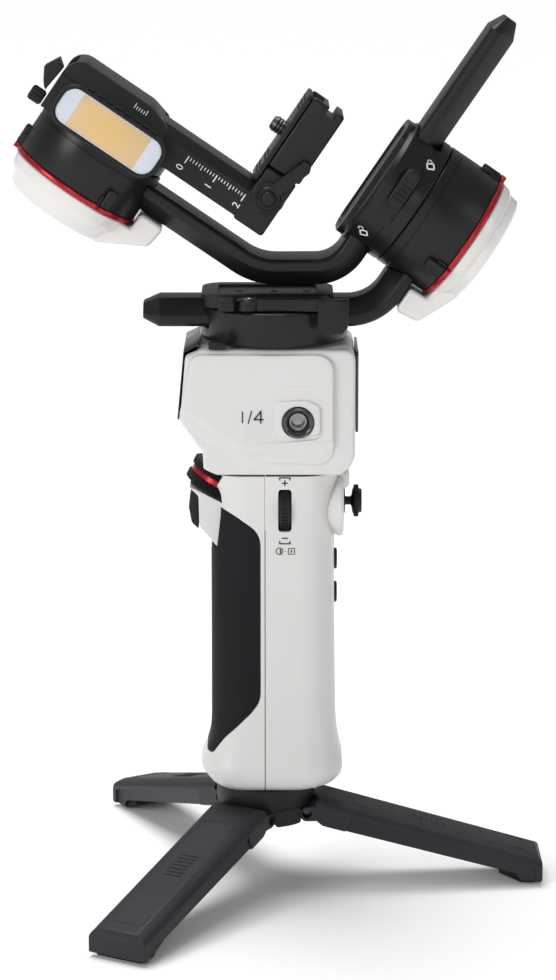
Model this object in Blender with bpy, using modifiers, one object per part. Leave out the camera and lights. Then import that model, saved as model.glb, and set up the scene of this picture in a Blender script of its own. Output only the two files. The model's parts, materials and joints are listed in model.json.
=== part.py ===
"""Compact three-axis camera gimbal on a mini tripod, folded and locked.

The handle is upright, its user side facing +X and its grip facing -X. The three arms lie in
the XZ plane. Sizes are in millimetres and the helpers turn them into metres. The origin is
at the middle of the whole outline, on the surface that the tripod stands on.
"""
import math

import bmesh
import bpy
from mathutils import Matrix, Vector

# ---- driving dimensions, in millimetres and degrees ----
MM = 0.001
GAP = 0.3  # air between neighbouring pieces
OVER = 5.0  # how far a cutter runs past what it cuts

HANDLE_X = -6.79  # handle axis from the middle of the outline
HEAD_TOP = 211.0
NECK_TOP = 163.0
HANDLE_FOOT = 39.9

ARM_WIDTH = 24.0
ARM_HEIGHT = 10.1
ARM_CHAMFER = 5.8
PAN_X = 3.5  # pan axis from the handle axis
PAN_ARM_Z = 222.55  # middle of the pan arm
ROTOR_RADIUS = 27.3

ROLL_ORIGIN = (55.1, 0.0, 262.1)  # on the roll axis, at the split between motor and clamp
ROLL_TILT = 34.2  # slope of the roll axis
MOTOR_RADIUS = 25.0
ROLL_MOTOR_LENGTH = 21.0
PAN_ARM_ROOT = 10.4  # the arm's middle, behind the motor's split
ROLL_BAR_X = -9.25  # the roll arm's bar, in front of the split
ROLL_BAR_TOP = 75.4

TILT_X = -107.5  # tilt axis, along the roll axis
TILT_SPLIT = -45.0  # top of the tilt motor, under the roll axis
TILT_MOTOR_LENGTH = 18.2
TILT_ARM_Z = -53.1
SHAFT_RADIUS = 6.0

RAIL_HALF = 14.0  # half the width of the camera rail
RAIL_LOW = -39.6
RAIL_HIGH = -25.6

DIAL_CENTRE = (-15.3, 0.0, 156.6)
DIAL_TILT = 27.0
DIAL_RADIUS = 14.0
DIAL_THICK = 9.4
STICK_CENTRE = (27.5, 0.0, 149.0)
PORT_RADIUS = 3.175  # a quarter-inch accessory hole
PORT_AT = (12.2, 184.4)

LEG_COUNT = 3
LEG_HALF = 12.0
LEG_PIVOT = (16.0, 28.3)  # radius and height of a leg's hinge
LEG_REACH = 106.6
PIN_RADIUS = 1.5

WHITE = ((0.80, 0.79, 0.775), 0.38, 0.0)
WHITE_CAP = ((0.84, 0.83, 0.81), 0.25, 0.0)
BLACK_METAL = ((0.018, 0.018, 0.02), 0.42, 0.6)
BLACK_PLASTIC = ((0.02, 0.02, 0.022), 0.5, 0.0)
GLOSS_BLACK = ((0.01, 0.01, 0.012), 0.15, 0.0)
RUBBER = ((0.013, 0.013, 0.015), 0.8, 0.0)
LEG_GREY = ((0.035, 0.037, 0.042), 0.55, 0.0)
RED = ((0.45, 0.02, 0.025), 0.3, 0.7)
STEEL = ((0.55, 0.55, 0.56), 0.3, 1.0)
COPPER = ((0.55, 0.27, 0.14), 0.4, 1.0)
GLASS = ((0.02, 0.025, 0.03), 0.08, 0.0)
LIGHT = ((0.85, 0.66, 0.34), 0.4, 0.0)
CELL = ((0.10, 0.22, 0.38), 0.5, 0.0)
BOARD = ((0.02, 0.16, 0.07), 0.5, 0.0)


# ---- the scene ----
def clear_scene():
    for old in list(bpy.data.objects):
        bpy.data.objects.remove(old, do_unlink=True)


def new_collection(name):
    made = bpy.data.collections.new(name)
    bpy.context.scene.collection.children.link(made)
    return made


def frame(name, at=(0, 0, 0), turn=(0, 0, 0), parent=None):
    """An empty that others are placed from."""
    made = bpy.data.objects.new(name, None)
    FRAMES.objects.link(made)
    put(made, parent, at, turn)
    return made


def put(thing, parent, at=(0, 0, 0), turn=(0, 0, 0)):
    thing.parent = parent
    thing.location = Vector(at) * MM
    thing.rotation_euler = [math.radians(a) for a in turn]


def coat(name, finish):
    colour, roughness, metallic = finish
    made = bpy.data.materials.new(name)
    made.use_nodes = True
    shader = made.node_tree.nodes["Principled BSDF"]
    shader.inputs["Base Color"].default_value = (*colour, 1)
    shader.inputs["Roughness"].default_value = roughness
    shader.inputs["Metallic"].default_value = metallic
    return made


def piece(name, mesh, finish, parent, at=(0, 0, 0), turn=(0, 0, 0)):
    """A part of the gimbal: one named solid with its own material."""
    made = bpy.data.objects.new(name, mesh)
    PARTS.objects.link(made)
    mesh.name = name
    mesh.materials.append(coat(name, finish))
    mesh.shade_smooth()
    mesh.set_sharp_from_angle(angle=math.radians(35))
    put(made, parent, at, turn)
    return made


def tool(mesh, parent, at=(0, 0, 0), turn=(0, 0, 0)):
    """A solid that only shapes other solids."""
    made = bpy.data.objects.new("tool", mesh)
    TOOLS.objects.link(made)
    made.hide_render = True
    made.display_type = "WIRE"
    put(made, parent, at, turn)
    return made


def combine(thing, operation, others):
    for other in others:
        change = thing.modifiers.new(operation.lower(), "BOOLEAN")
        change.operation = operation
        change.solver = "EXACT"
        change.object = other
    return thing


def cut(thing, *others):
    return combine(thing, "DIFFERENCE", others)


def fuse(thing, *others):
    return combine(thing, "UNION", others)


def common(thing, *others):
    return combine(thing, "INTERSECT", others)


# ---- solids ----
def to_mesh(shape):
    """The bmesh as a mesh in metres, with its faces pointing out."""
    bmesh.ops.recalc_face_normals(shape, faces=shape.faces)
    bmesh.ops.scale(shape, vec=(MM, MM, MM), verts=shape.verts)
    mesh = bpy.data.meshes.new("solid")
    shape.to_mesh(mesh)
    shape.free()
    return mesh


def block(low, high, round_by=0.0, along=None, steps=2):
    """A box between two corners, with its edges rounded: all, or those along one axis."""
    shape = bmesh.new()
    bmesh.ops.create_cube(shape, size=1.0)
    size = Vector(high) - Vector(low)
    middle = (Vector(high) + Vector(low)) / 2
    bmesh.ops.scale(shape, vec=size, verts=shape.verts)
    bmesh.ops.translate(shape, vec=middle, verts=shape.verts)
    if round_by:
        edges = [e for e in shape.edges if along is None or runs_along(e, along)]
        round_edges(shape, edges, round_by, steps)
    return to_mesh(shape)


def runs_along(edge, axis):
    way = (edge.verts[1].co - edge.verts[0].co).normalized()
    return abs(way["xyz".index(axis)]) > 0.95


def round_edges(shape, edges, width, steps=1):
    bmesh.ops.bevel(shape, geom=edges, offset=width, offset_type="OFFSET", segments=steps,
                    profile=0.5, affect="EDGES", clamp_overlap=True)


def rod(radius, low, high, axis="z", at=(0, 0), sides=32, chamfer=0.0):
    """A round bar along an axis. at gives its middle on the other two axes, in order."""
    shape = bmesh.new()
    bmesh.ops.create_cone(shape, cap_ends=True, segments=sides, radius1=radius,
                          radius2=radius, depth=high - low)
    if chamfer:
        rims = [e for e in shape.edges if abs(e.verts[0].co.z - e.verts[1].co.z) < 0.01]
        round_edges(shape, rims, chamfer)
    bmesh.ops.translate(shape, vec=(0, 0, (high + low) / 2), verts=shape.verts)
    if axis == "x":
        bmesh.ops.rotate(shape, matrix=Matrix.Rotation(math.radians(90), 3, "Y"),
                         verts=shape.verts)
        bmesh.ops.translate(shape, vec=(0, at[0], at[1]), verts=shape.verts)
    elif axis == "y":
        bmesh.ops.rotate(shape, matrix=Matrix.Rotation(math.radians(-90), 3, "X"),
                         verts=shape.verts)
        bmesh.ops.translate(shape, vec=(at[0], 0, at[1]), verts=shape.verts)
    else:
        bmesh.ops.translate(shape, vec=(at[0], at[1], 0), verts=shape.verts)
    return to_mesh(shape)


def from_curve(curve_object):
    """The evaluated curve as a closed mesh, its loose caps welded."""
    shown = curve_object.evaluated_get(bpy.context.evaluated_depsgraph_get())
    mesh = bpy.data.meshes.new_from_object(shown)
    shape = bmesh.new()
    shape.from_mesh(mesh)
    bmesh.ops.remove_doubles(shape, verts=shape.verts, dist=0.001)
    bpy.data.objects.remove(curve_object, do_unlink=True)
    bpy.data.meshes.remove(mesh)
    return shape


def flat_curve(name, points, cyclic=True, radii=None):
    curve = bpy.data.curves.new(name, "CURVE")
    curve.dimensions = "2D"
    line = curve.splines.new("POLY")
    line.points.add(len(points) - 1)
    for i, (x, y) in enumerate(points):
        line.points[i].co = (x, y, 0, 1)
        line.points[i].radius = radii[i] if radii else 1.0
    line.use_cyclic_u = cyclic
    made = bpy.data.objects.new(name, curve)
    bpy.context.scene.collection.objects.link(made)
    return made


def slab(outline, low, high, across="y"):
    """A flat outline given thickness: in XZ across Y, in XY across Z, or in YZ across X."""
    made = flat_curve("outline", outline)
    made.data.fill_mode = "BOTH"
    made.data.extrude = (high - low) / 2
    shape = from_curve(made)
    if across == "y":
        bmesh.ops.rotate(shape, matrix=Matrix.Rotation(math.radians(90), 3, "X"),
                         verts=shape.verts)
        bmesh.ops.translate(shape, vec=(0, (low + high) / 2, 0), verts=shape.verts)
    elif across == "x":
        turned_up = Matrix(((0, 0, 1), (1, 0, 0), (0, 1, 0)))
        bmesh.ops.rotate(shape, matrix=turned_up, verts=shape.verts)
        bmesh.ops.translate(shape, vec=((low + high) / 2, 0, 0), verts=shape.verts)
    else:
        bmesh.ops.translate(shape, vec=(0, 0, (low + high) / 2), verts=shape.verts)
    return shape


def rounded(corners, steps=4):
    """An outline from corners (x, y, radius), each corner an arc."""
    points = []
    for i, (x, y, radius) in enumerate(corners):
        here = Vector((x, y))
        before = Vector(corners[i - 1][:2]) - here
        after = Vector(corners[(i + 1) % len(corners)][:2]) - here
        if not radius:
            points.append((x, y))
            continue
        half = before.angle(after) / 2
        reach = radius / math.tan(half)
        centre = here + (before.normalized() + after.normalized()).normalized() * (
            radius / math.sin(half))
        first = here + before.normalized() * reach - centre
        last = here + after.normalized() * reach - centre
        sweep = math.atan2(first.x * last.y - first.y * last.x, first.dot(last))
        for k in range(steps + 1):
            turned = Matrix.Rotation(sweep * k / steps, 2) @ first
            points.append(tuple(centre + turned))
    return points


def turned(name, profile, finish, parent, sides=36, at=(0, 0, 0), turn=(0, 0, 0)):
    """A part turned about its own Z, its profile (radius, z) running down its outer side."""
    mesh = bpy.data.meshes.new(name)
    shape = bmesh.new()
    points = [shape.verts.new((r * MM, 0, z * MM)) for r, z in profile]
    for a, b in zip(points, points[1:]):
        shape.edges.new((a, b))
    if profile[0][0] > 0:
        shape.edges.new((points[-1], points[0]))
    shape.to_mesh(mesh)
    shape.free()
    made = piece(name, mesh, finish, parent, at, turn)
    screw = made.modifiers.new("turn", "SCREW")
    screw.axis = "Z"
    screw.steps = sides
    screw.render_steps = sides
    screw.use_merge_vertices = True
    screw.merge_threshold = 0.00001
    screw.use_smooth_shade = True
    return made


def swept(path, section, tip=1.0):
    """A section of (rise, width) points swept along a flat path in XZ; tip scales its end."""
    guide = flat_curve("section", section)
    rail = flat_curve("rail", path, cyclic=False, radii=[tip] + [1.0] * (len(path) - 1))
    rail.data.bevel_mode = "OBJECT"
    rail.data.bevel_object = guide
    rail.data.use_fill_caps = True
    shape = from_curve(rail)
    bpy.data.objects.remove(guide, do_unlink=True)
    bmesh.ops.rotate(shape, matrix=Matrix.Rotation(math.radians(90), 3, "X"),
                     verts=shape.verts)
    return to_mesh(shape)


def arm_section():
    """Flat top between wide chamfers, small chamfers below."""
    w = ARM_WIDTH / 2
    h = ARM_HEIGHT / 2
    low = 1.3
    return [(h, w - ARM_CHAMFER), (h, ARM_CHAMFER - w), (h - ARM_CHAMFER, -w),
            (low - h, -w), (-h, low - w), (-h, w - low), (low - h, w), (h - ARM_CHAMFER, w)]


def loft(levels, inset=0.0, steps=3):
    """A solid through rounded rectangles (z, x_front, x_rear, half_width, corner)."""
    shape = bmesh.new()
    rings = []
    for z, front, rear, half, corner in levels:
        box = [(front + inset, -half + inset), (rear - inset, -half + inset),
               (rear - inset, half - inset), (front + inset, half - inset)]
        outline = rounded([(x, y, corner - inset) for x, y in box], steps)
        rings.append([shape.verts.new((x, y, z)) for x, y in outline])
    for lower, upper in zip(rings, rings[1:]):
        for i in range(len(lower)):
            j = (i + 1) % len(lower)
            shape.faces.new((lower[i], lower[j], upper[j], upper[i]))
    shape.faces.new(rings[0][::-1])
    shape.faces.new(rings[-1])
    return to_mesh(shape)


# ---- handle ----
HANDLE_LEVELS = [
    (HANDLE_FOOT, -18.6, 22.4, 17.6, 12), (41.6, -20.6, 26.4, 20.4, 13.5),
    (44.6, -22.8, 29.0, 22.0, 14), (48.4, -24.4, 29.4, 22.4, 14.5), (52.5, -22.6, 28.6, 21.8, 14),
    (58.5, -21.0, 27.5, 21.0, 14), (68.0, -20.4, 26.7, 20.5, 14), (100.0, -20.3, 26.2, 20.4, 14),
    (132.0, -20.3, 25.9, 20.4, 14), (146.0, -18.6, 26.2, 20.6, 14), (155.0, -18.8, 27.0, 21.2, 14),
    (NECK_TOP, -22.4, 27.6, 22.0, 14),
]
PAD_DEPTH = 1.8
WALL = 2.2


def middle_levels(low, high):
    """The handle's levels between two heights."""
    return [level for level in HANDLE_LEVELS if low < level[0] < high]


def nose_outline(grow=0.0):
    g = grow
    top = NECK_TOP - 0.5
    return [(-22.8 - g, top), (-27.3 - g, 160.6 + g), (-28.3 - g, 157.0 - g),
            (-24.9 - g, 153.6 - g), (-24.6 - g, 142.0 - g), (-20.2 - g, 137.0 - g),
            (-17.8 - g / 2, 134.0 - g), (-14.6 + g, 135.6 - g), (-13.8 + g, 141.0),
            (-9.0 + g, 149.0 - g), (0.5, 150.0), (0.5, top)]


def pad_outline(grow=0.0):
    g = grow
    return [(-1.9 + g, 80.0), (-1.9 + g, 139.6), (-3.7 + g, 142.3 + g), (-6.7, 145.1 + g),
            (-17.3, 149.8 + g), (-34.0, 149.8 + g), (-34.0, 53.0 - g), (-20.0, 54.0 - g),
            (-16.6, 59.0 - g), (-12.2, 65.6 - g), (-6.9 + g, 70.8 - g), (-3.1 + g, 75.5 - g)]


def nose_tool():
    shape = slab(nose_outline(), -13.5, 13.5)
    rims = [e for e in shape.edges if abs(e.verts[0].co.y - e.verts[1].co.y) < 0.01
            and max(v.co.x for v in e.verts) < -8 and max(v.co.z for v in e.verts) < 162.0]
    round_edges(shape, rims, 1.2)
    return tool(to_mesh(shape), HANDLE)


def dial_slot():
    half = DIAL_THICK / 2 + 0.6
    return tool(rod(DIAL_RADIUS + 0.8, -half, half), HANDLE, DIAL_CENTRE, (0, DIAL_TILT, 0))


def half_space(low_x, high_x):
    return tool(block((low_x, -60, 0), (high_x, 60, 250)), HANDLE)


def front_shell():
    shell = piece("handle_front_shell", loft(HANDLE_LEVELS), WHITE, HANDLE)
    core = loft(middle_levels(45, 158), PAD_DEPTH + GAP)
    cut(shell, tool(to_mesh(slab(pad_outline(GAP), -60, 60)), HANDLE))
    fuse(shell, tool(core, HANDLE), nose_tool())
    inside = loft(middle_levels(42, 150), PAD_DEPTH + GAP + WALL)
    trigger_pocket = block((-40, -5.4, 139.4), (-21.6, 5.4, 153.4))
    cut(shell, half_space(-GAP / 2, 80), tool(inside, HANDLE), dial_slot(),
        tool(trigger_pocket, HANDLE))


def rear_shell():
    shell = piece("handle_rear_shell", loft(HANDLE_LEVELS), WHITE, HANDLE)
    x, y, z = STICK_CENTRE
    pod = rod(13.0, 12.0, 29.4, "x", (y, z), 28, 2.0)
    fuse(shell, tool(pod, HANDLE))
    inside = loft(middle_levels(42, 158), WALL + 0.2)
    cut(shell, half_space(-80, GAP / 2), tool(inside, HANDLE), dial_slot(),
        tool(rod(7.5, 18.0, 40.0, "x", (y, z), 24), HANDLE),
        tool(block((4.9, -40, 139.2), (9.9, -3, 160.4)), HANDLE))
    for height in BUTTON_HEIGHTS.values():
        cut(shell, tool(rod(4.3, 18.0, 40.0, "x", (0, height), 20), HANDLE))
    cut(shell, tool(rod(3.3, 10.0, 40.0, "y", POWER_AT, 16), HANDLE))


def grip_pad():
    pad = piece("grip_pad", loft(HANDLE_LEVELS), RUBBER, HANDLE)
    common(pad, tool(to_mesh(slab(pad_outline(), -60, 60)), HANDLE))
    nose = slab(nose_outline(GAP), -13.5 - GAP, 13.5 + GAP)
    cut(pad, tool(loft(middle_levels(42, 162), PAD_DEPTH), HANDLE), tool(to_mesh(nose), HANDLE))


# ---- head ----
def head_outline(inset=0.0):
    i = inset
    return rounded([
        (-23.0 + i, HEAD_TOP - i, 3), (-29.2 + i, 208.6 - i, 1.5), (-31.3 + i, 184.2, 2),
        (-23.0 + i, 172.6 + i / 2, 2), (-22.6 + i, NECK_TOP + GAP, 0),
        (27.6 - i, NECK_TOP + GAP, 0), (31.4 - i, 166.2 + i, 2), (33.3 - i, 171.0, 3),
        (33.3 - i, HEAD_TOP - i, 3)], 2)


def panel_outline():
    return rounded([
        (-24.2, 209.6, 3), (-26.9, 208.4, 2), (-31.6, 186.5, 2.5), (-22.9, 176.0, 4),
        (-6.4, 171.4, 6), (0.4, 169.1, 3), (25.2, 168.4, 5.5), (25.3, 209.6, 5.5)], 2)


def head_housing():
    shape = slab(head_outline(), -24.6, 24.6)
    rims = [e for e in shape.edges if abs(e.verts[0].co.y - e.verts[1].co.y) < 0.01
            and max(v.co.z for v in e.verts) > NECK_TOP + 1]
    round_edges(shape, rims, 2.4)
    housing = piece("head_housing", to_mesh(shape), WHITE, HANDLE)
    room = slab([(-24.5, 206.5), (-27.5, 186), (-17.5, 173), (-17.5, 150), (22.5, 150),
                 (22.5, 168), (30.6, 172), (30.6, 208.4), (-22, 208.4)], -22.0, 22.0)
    port_hole = rod(4.9, -60, -15, "y", PORT_AT, 20)
    cut(housing, tool(to_mesh(room), HANDLE), dial_slot(), tool(port_hole, HANDLE))


def side_panel(name, side, has_port):
    low, high = (-26.8, -24.9) if side < 0 else (24.9, 26.8)
    shape = slab(panel_outline(), low, high)
    outer = [e for e in shape.edges if all(abs(v.co.y) > 26 for v in e.verts)]
    round_edges(shape, outer, 0.8)
    panel = piece(name, to_mesh(shape), WHITE, HANDLE)
    if has_port:
        cut(panel, tool(rod(6.1, -60, -20, "y", PORT_AT, 24), HANDLE))


def head():
    head_housing()
    side_panel("side_panel_near", -1, True)
    side_panel("side_panel_far", 1, False)
    trim = slab([(-24.4, 212.6), (-30.0, 210.0), (-32.4, 184.6), (-31.7, 183.8),
                 (-29.5, 208.9), (-24.0, 211.4)], -20.0, 20.0)
    piece("front_trim", to_mesh(trim), GLOSS_BLACK, HANDLE)
    piece("display_panel", block((33.6, -17, 178.5), (34.6, 17, 209.0), 1.6, "x"), GLASS, HANDLE)
    bush = turned("port_bush", [(5.75, 12.0), (5.75, 9.6), (4.6, 9.6), (4.6, 0.0),
                                (PORT_RADIUS, 0.0), (PORT_RADIUS, 11.0), (4.2, 12.0)],
                  BLACK_METAL, HANDLE, 24)
    put(bush, HANDLE, (PORT_AT[0], -15.4, PORT_AT[1]), (90, 0, 0))
    board = block((-14, -1.0, 166), (21, 1.0, 205), 0.5, "y")
    piece("main_board", board, BOARD, HANDLE)
    piece("battery_pack", block((-13.2, -14.2, 46), (20.5, 14.2, 134), 6.0, "z"), CELL, HANDLE)


# ---- controls ----
BUTTON_HEIGHTS = {"record_button": 126.5, "mode_button": 113.5}
POWER_AT = (10.0, 150.0)


def controls():
    half = DIAL_THICK / 2
    turned("control_dial", [(0, half), (12.6, half), (DIAL_RADIUS, half - 1.2),
                            (DIAL_RADIUS, 1.2 - half), (12.6, -half), (0, -half)],
           BLACK_PLASTIC, HANDLE, 24, DIAL_CENTRE, (0, DIAL_TILT, 0))
    wheel = rod(9.6, -2.0, 2.0, "x", (0, 0), 24, 0.5)
    piece("thumb_wheel", wheel, BLACK_PLASTIC, HANDLE, (7.4, -13.6, 149.8))
    blade = slab([(-1.6, 1.2), (-3.0, 0.4), (-3.5, -4.5), (-2.4, -10.6), (0.2, -13.0),
                  (0.4, -9.0), (0.3, 1.0)], -5.0, 5.0)
    piece("trigger", to_mesh(blade), BLACK_PLASTIC, HANDLE, (-25.3, 0, 152.0))
    turned("joystick_ring", [(3.6, 2.6), (4.4, 2.6), (7.0, 0.5), (7.0, -1.5), (3.6, -1.5)],
           BLACK_PLASTIC, HANDLE, 18, STICK_CENTRE, (0, 90, 0))
    turned("joystick", [(0, 8.9), (3.6, 8.9), (4.4, 8.1), (6.1, 7.6), (6.1, 6.2), (4.2, 5.4),
                        (1.6, 4.9), (1.6, 2.7), (2.7, 1.6), (3.1, 0), (2.7, -1.5), (0, -3.0)],
           BLACK_PLASTIC, HANDLE, 18, STICK_CENTRE, (0, 90, 0))
    for name, height in BUTTON_HEIGHTS.items():
        piece(name, rod(4.0, 0, 3.4, "x", (0, 0), 20, 0.5), BLACK_PLASTIC, HANDLE,
              (23.8, 0, height))
    piece("power_button", rod(3.0, 0, 3.4, "y", (0, 0), 16, 0.4), BLACK_PLASTIC, HANDLE,
          (POWER_AT[0], 18.4, POWER_AT[1]))
    tab = block((-3.3, -1.9, -1.2), (3.3, 1.9, 1.3), 0.5)
    piece("pan_lock", tab, BLACK_PLASTIC, HANDLE, (-17.4, -24.4, 212.8))


# ---- pan axis ----
def pan_rotor():
    top = 225.0 - PAN_ARM_Z
    rotor = turned("pan_rotor", [(0, top), (26.4, top), (ROTOR_RADIUS, top - 0.9),
                                 (ROTOR_RADIUS, -9.6), (26.6, -10.3), (22.0, -10.3),
                                 (22.0, -7.7), (0, -7.7)], BLACK_METAL, PAN, 40)
    channel = block((-40, -ARM_WIDTH / 2 - 0.4, -ARM_HEIGHT / 2 - GAP), (40, ARM_WIDTH / 2 + 0.4, 20))
    cut(rotor, tool(channel, PAN))
    turned("pan_stator", [(0, -8.0), (20.5, -8.0), (21.5, -9.0), (21.5, -11.2), (0, -11.2)],
           COPPER, PAN, 24)


def pan_clamp():
    low = 225.0 + GAP - PAN_ARM_Z
    high = 229.7 - PAN_ARM_Z
    shape = slab(rounded([(-27.0, -16.5, 7), (21.8, -16.5, 7), (21.8, 16.5, 7),
                          (-27.0, 16.5, 7)], 3), low, high, "z")
    upper = [e for e in shape.edges if all(v.co.z > high - 0.1 for v in e.verts)]
    round_edges(shape, upper, 0.8)
    clamp = piece("pan_clamp", to_mesh(shape), BLACK_METAL, PAN)
    pivot = block((-20.5, -25.4, low), (-14.6, -15.0, high - 0.2), 0.8)
    fuse(clamp, tool(pivot, PAN))
    saddle = block((-40, -ARM_WIDTH / 2 - 0.4, -20), (40, ARM_WIDTH / 2 + 0.4, ARM_HEIGHT / 2 + GAP))
    recess = block((-18.5, -8.5, high - 0.9), (14.5, 8.5, 20), 3.0, "z")
    cut(clamp, tool(saddle, PAN), tool(recess, PAN))


def pan_lever():
    """Swings out about the upright pin at its left end."""
    low = 225.0 + GAP - PAN_ARM_Z
    high = 229.6 - PAN_ARM_Z
    lever = piece("pan_lever", block((3.0, -3.2, low), (37.0, 1.2, high), 0.9),
                  BLACK_METAL, PAN, (-9.6, -21.6, 0))
    eye = rod(4.2, low, high, sides=20)
    finger = block((25.5, -5.2, -5.2), (36.6, -2.6, high - 0.4), 0.7)
    fuse(lever, tool(eye, PAN, (-9.6, -21.6, 0)), tool(finger, PAN, (-9.6, -21.6, 0)))


def bend(corner, before, after, radius, steps=5):
    """The points of an arc that rounds a path's corner."""
    x, y = corner
    return rounded([(*before, 0), (x, y, radius), (*after, 0)], steps)[1:-1]


def pan_arm():
    """Runs through the clamp, then turns up to carry the roll motor."""
    start = (-45.3 - PAN_X, 0.0)
    lean = math.radians(90 - ROLL_TILT)
    along = math.radians(ROLL_TILT)
    across = (PAN_ARM_Z - ROLL_ORIGIN[2] + PAN_ARM_ROOT * math.sin(along)) / math.cos(along)
    corner = (ROLL_ORIGIN[0] - PAN_X + PAN_ARM_ROOT * math.cos(along) + across * math.sin(along), 0)
    end = (corner[0] + 22.0 * math.cos(lean), 22.0 * math.sin(lean))
    path = [start, (start[0] + 6.0, 0.0)] + bend(corner, start, end, 19.0) + [end]
    arm = piece("pan_arm", swept(path, arm_section(), 0.55), BLACK_METAL, PAN)
    cut(arm, tool(rod(MOTOR_RADIUS + GAP, -60, 60, "x", (0, 0), 36), ROLL))


# ---- motors ----
LUG_ANGLES = (180, 60, -60)


def motor(prefix, length, cap_depth, arm_low, parent, cap_taper):
    """Case, red ring, white cap, stator and shaft.

    Its Z is the axis, up to the split at 0. The arm joins on the +X side.
    """
    r = MOTOR_RADIUS
    case = turned(prefix + "_case", [
        (SHAFT_RADIUS + 0.4, 0), (r - 0.6, 0), (r, -0.6), (r, -length), (r - 2.6, -length),
        (r - 2.6, -4.0), (SHAFT_RADIUS + 0.4, -4.0)], BLACK_METAL, parent, 36)
    ring_low = -length - 2.1
    ring = turned(prefix + "_ring", [
        (r + 0.4, -length - GAP), (r + 0.4, ring_low), (r - 2.4, ring_low),
        (r - 2.4, -length - GAP)], RED, parent, 36)
    for angle in LUG_ANGLES:
        lug = block((r - 1.5, -2.2, -length), (r + 2.0, 2.2, 8.0 - length), 0.5, "x")
        fuse(case, tool(lug, parent, (0, 0, 0), (0, 0, angle)))
        bump = block((r - 1.5, -2.2, ring_low), (r + 2.0, 2.2, -length - GAP))
        fuse(ring, tool(bump, parent, (0, 0, 0), (0, 0, angle)))
    top = ring_low - GAP
    low = top - cap_depth
    cap = turned(prefix + "_cap", [
        (0, top), (r - 0.7, top), (r - 1.3, top - cap_depth * 0.42), (cap_taper, low), (0, low)],
        WHITE_CAP, parent, 36)
    cover = slab(rounded([(10, top, 0), (r + 0.6, top, 0), (r + 0.6, arm_low - 0.4, 0),
                          (36.0, arm_low - 0.4, 2.0), (34.8, top - 2.0, 2.5),
                          (cap_taper - 1, low + 0.2, 2.0), (10, low + 0.2, 0)], 3), -12.0, 12.0)
    sides = [e for e in cover.edges if abs(e.verts[0].co.y - e.verts[1].co.y) < 0.01
             and min(v.co.x for v in e.verts) > r]
    round_edges(cover, sides, 2.0, 2)
    fuse(cap, tool(to_mesh(cover), parent))
    turned(prefix + "_stator", [
        (SHAFT_RADIUS + 0.4, -5.0), (19.0, -5.0), (20.5, -6.5), (20.5, 1.5 - length),
        (SHAFT_RADIUS + 0.4, 1.5 - length)], COPPER, parent, 24)
    turned(prefix + "_shaft", [
        (0, 0.0), (SHAFT_RADIUS, 0.0), (SHAFT_RADIUS, 3.0 - length), (0, 3.0 - length)],
        STEEL, parent, 16)


# ---- roll axis ----
ROLL_LEVER_AT = (0, 28.5, -16.0)


def roll_clamp():
    shape = turned("roll_clamp", [(0, -GAP), (24.2, -GAP), (MOTOR_RADIUS, -1.1),
                                  (MOTOR_RADIUS, -15.8), (23.8, -17.0), (0, -17.0)],
                   BLACK_METAL, ROLL, 36)
    put(shape, ROLL, (0, 0, 0), (0, 90, 0))
    plate = block((-18.8, -12.5, -24.0), (-16.0, 12.5, 24.0), 5.0, "x", 3)
    fuse(shape, tool(plate, ROLL))
    half = ARM_HEIGHT / 2 + GAP
    tunnel = block((ROLL_BAR_X - half, -12.4, -40), (ROLL_BAR_X + half, 12.4, 40))
    lock_slot = block((-11.9, -40, -15.0), (-5.1, -22.4, 12.6), 3.0, "y")
    cut(shape, tool(tunnel, ROLL), tool(lock_slot, ROLL))
    slider = block((-11.5, -26.6, -3.6), (-5.5, -22.8, 12.2), 2.6, "y")
    piece("roll_lock", slider, BLACK_PLASTIC, ROLL)
    lever = piece("roll_lever", block((-12.0, -3.0, 2.0), (-5.0, 0.0, 30.0), 0.9),
                  BLACK_METAL, ROLL, ROLL_LEVER_AT)
    fuse(lever, tool(rod(3.0, -13.0, -4.0, "x", (0, 0), 18), ROLL, ROLL_LEVER_AT))


def roll_arm():
    """A straight bar up the clamp, which bends twice to carry the tilt motor."""
    top = (ROLL_BAR_X, ROLL_BAR_TOP)
    first = (ROLL_BAR_X, -36.0)
    second = (-34.2, TILT_ARM_Z)
    end = (TILT_X + 20.0, TILT_ARM_Z)
    path = [top, (top[0], top[1] - 6.0)] + bend(first, top, second, 16.0)
    path += bend(second, first, end, 24.0) + [end]
    arm = piece("roll_arm", swept(path, arm_section(), 0.5), BLACK_METAL, ROLL)
    cut(arm, tool(rod(MOTOR_RADIUS + GAP, -90, 0, "z", (TILT_X, 0), 36), ROLL))


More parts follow.
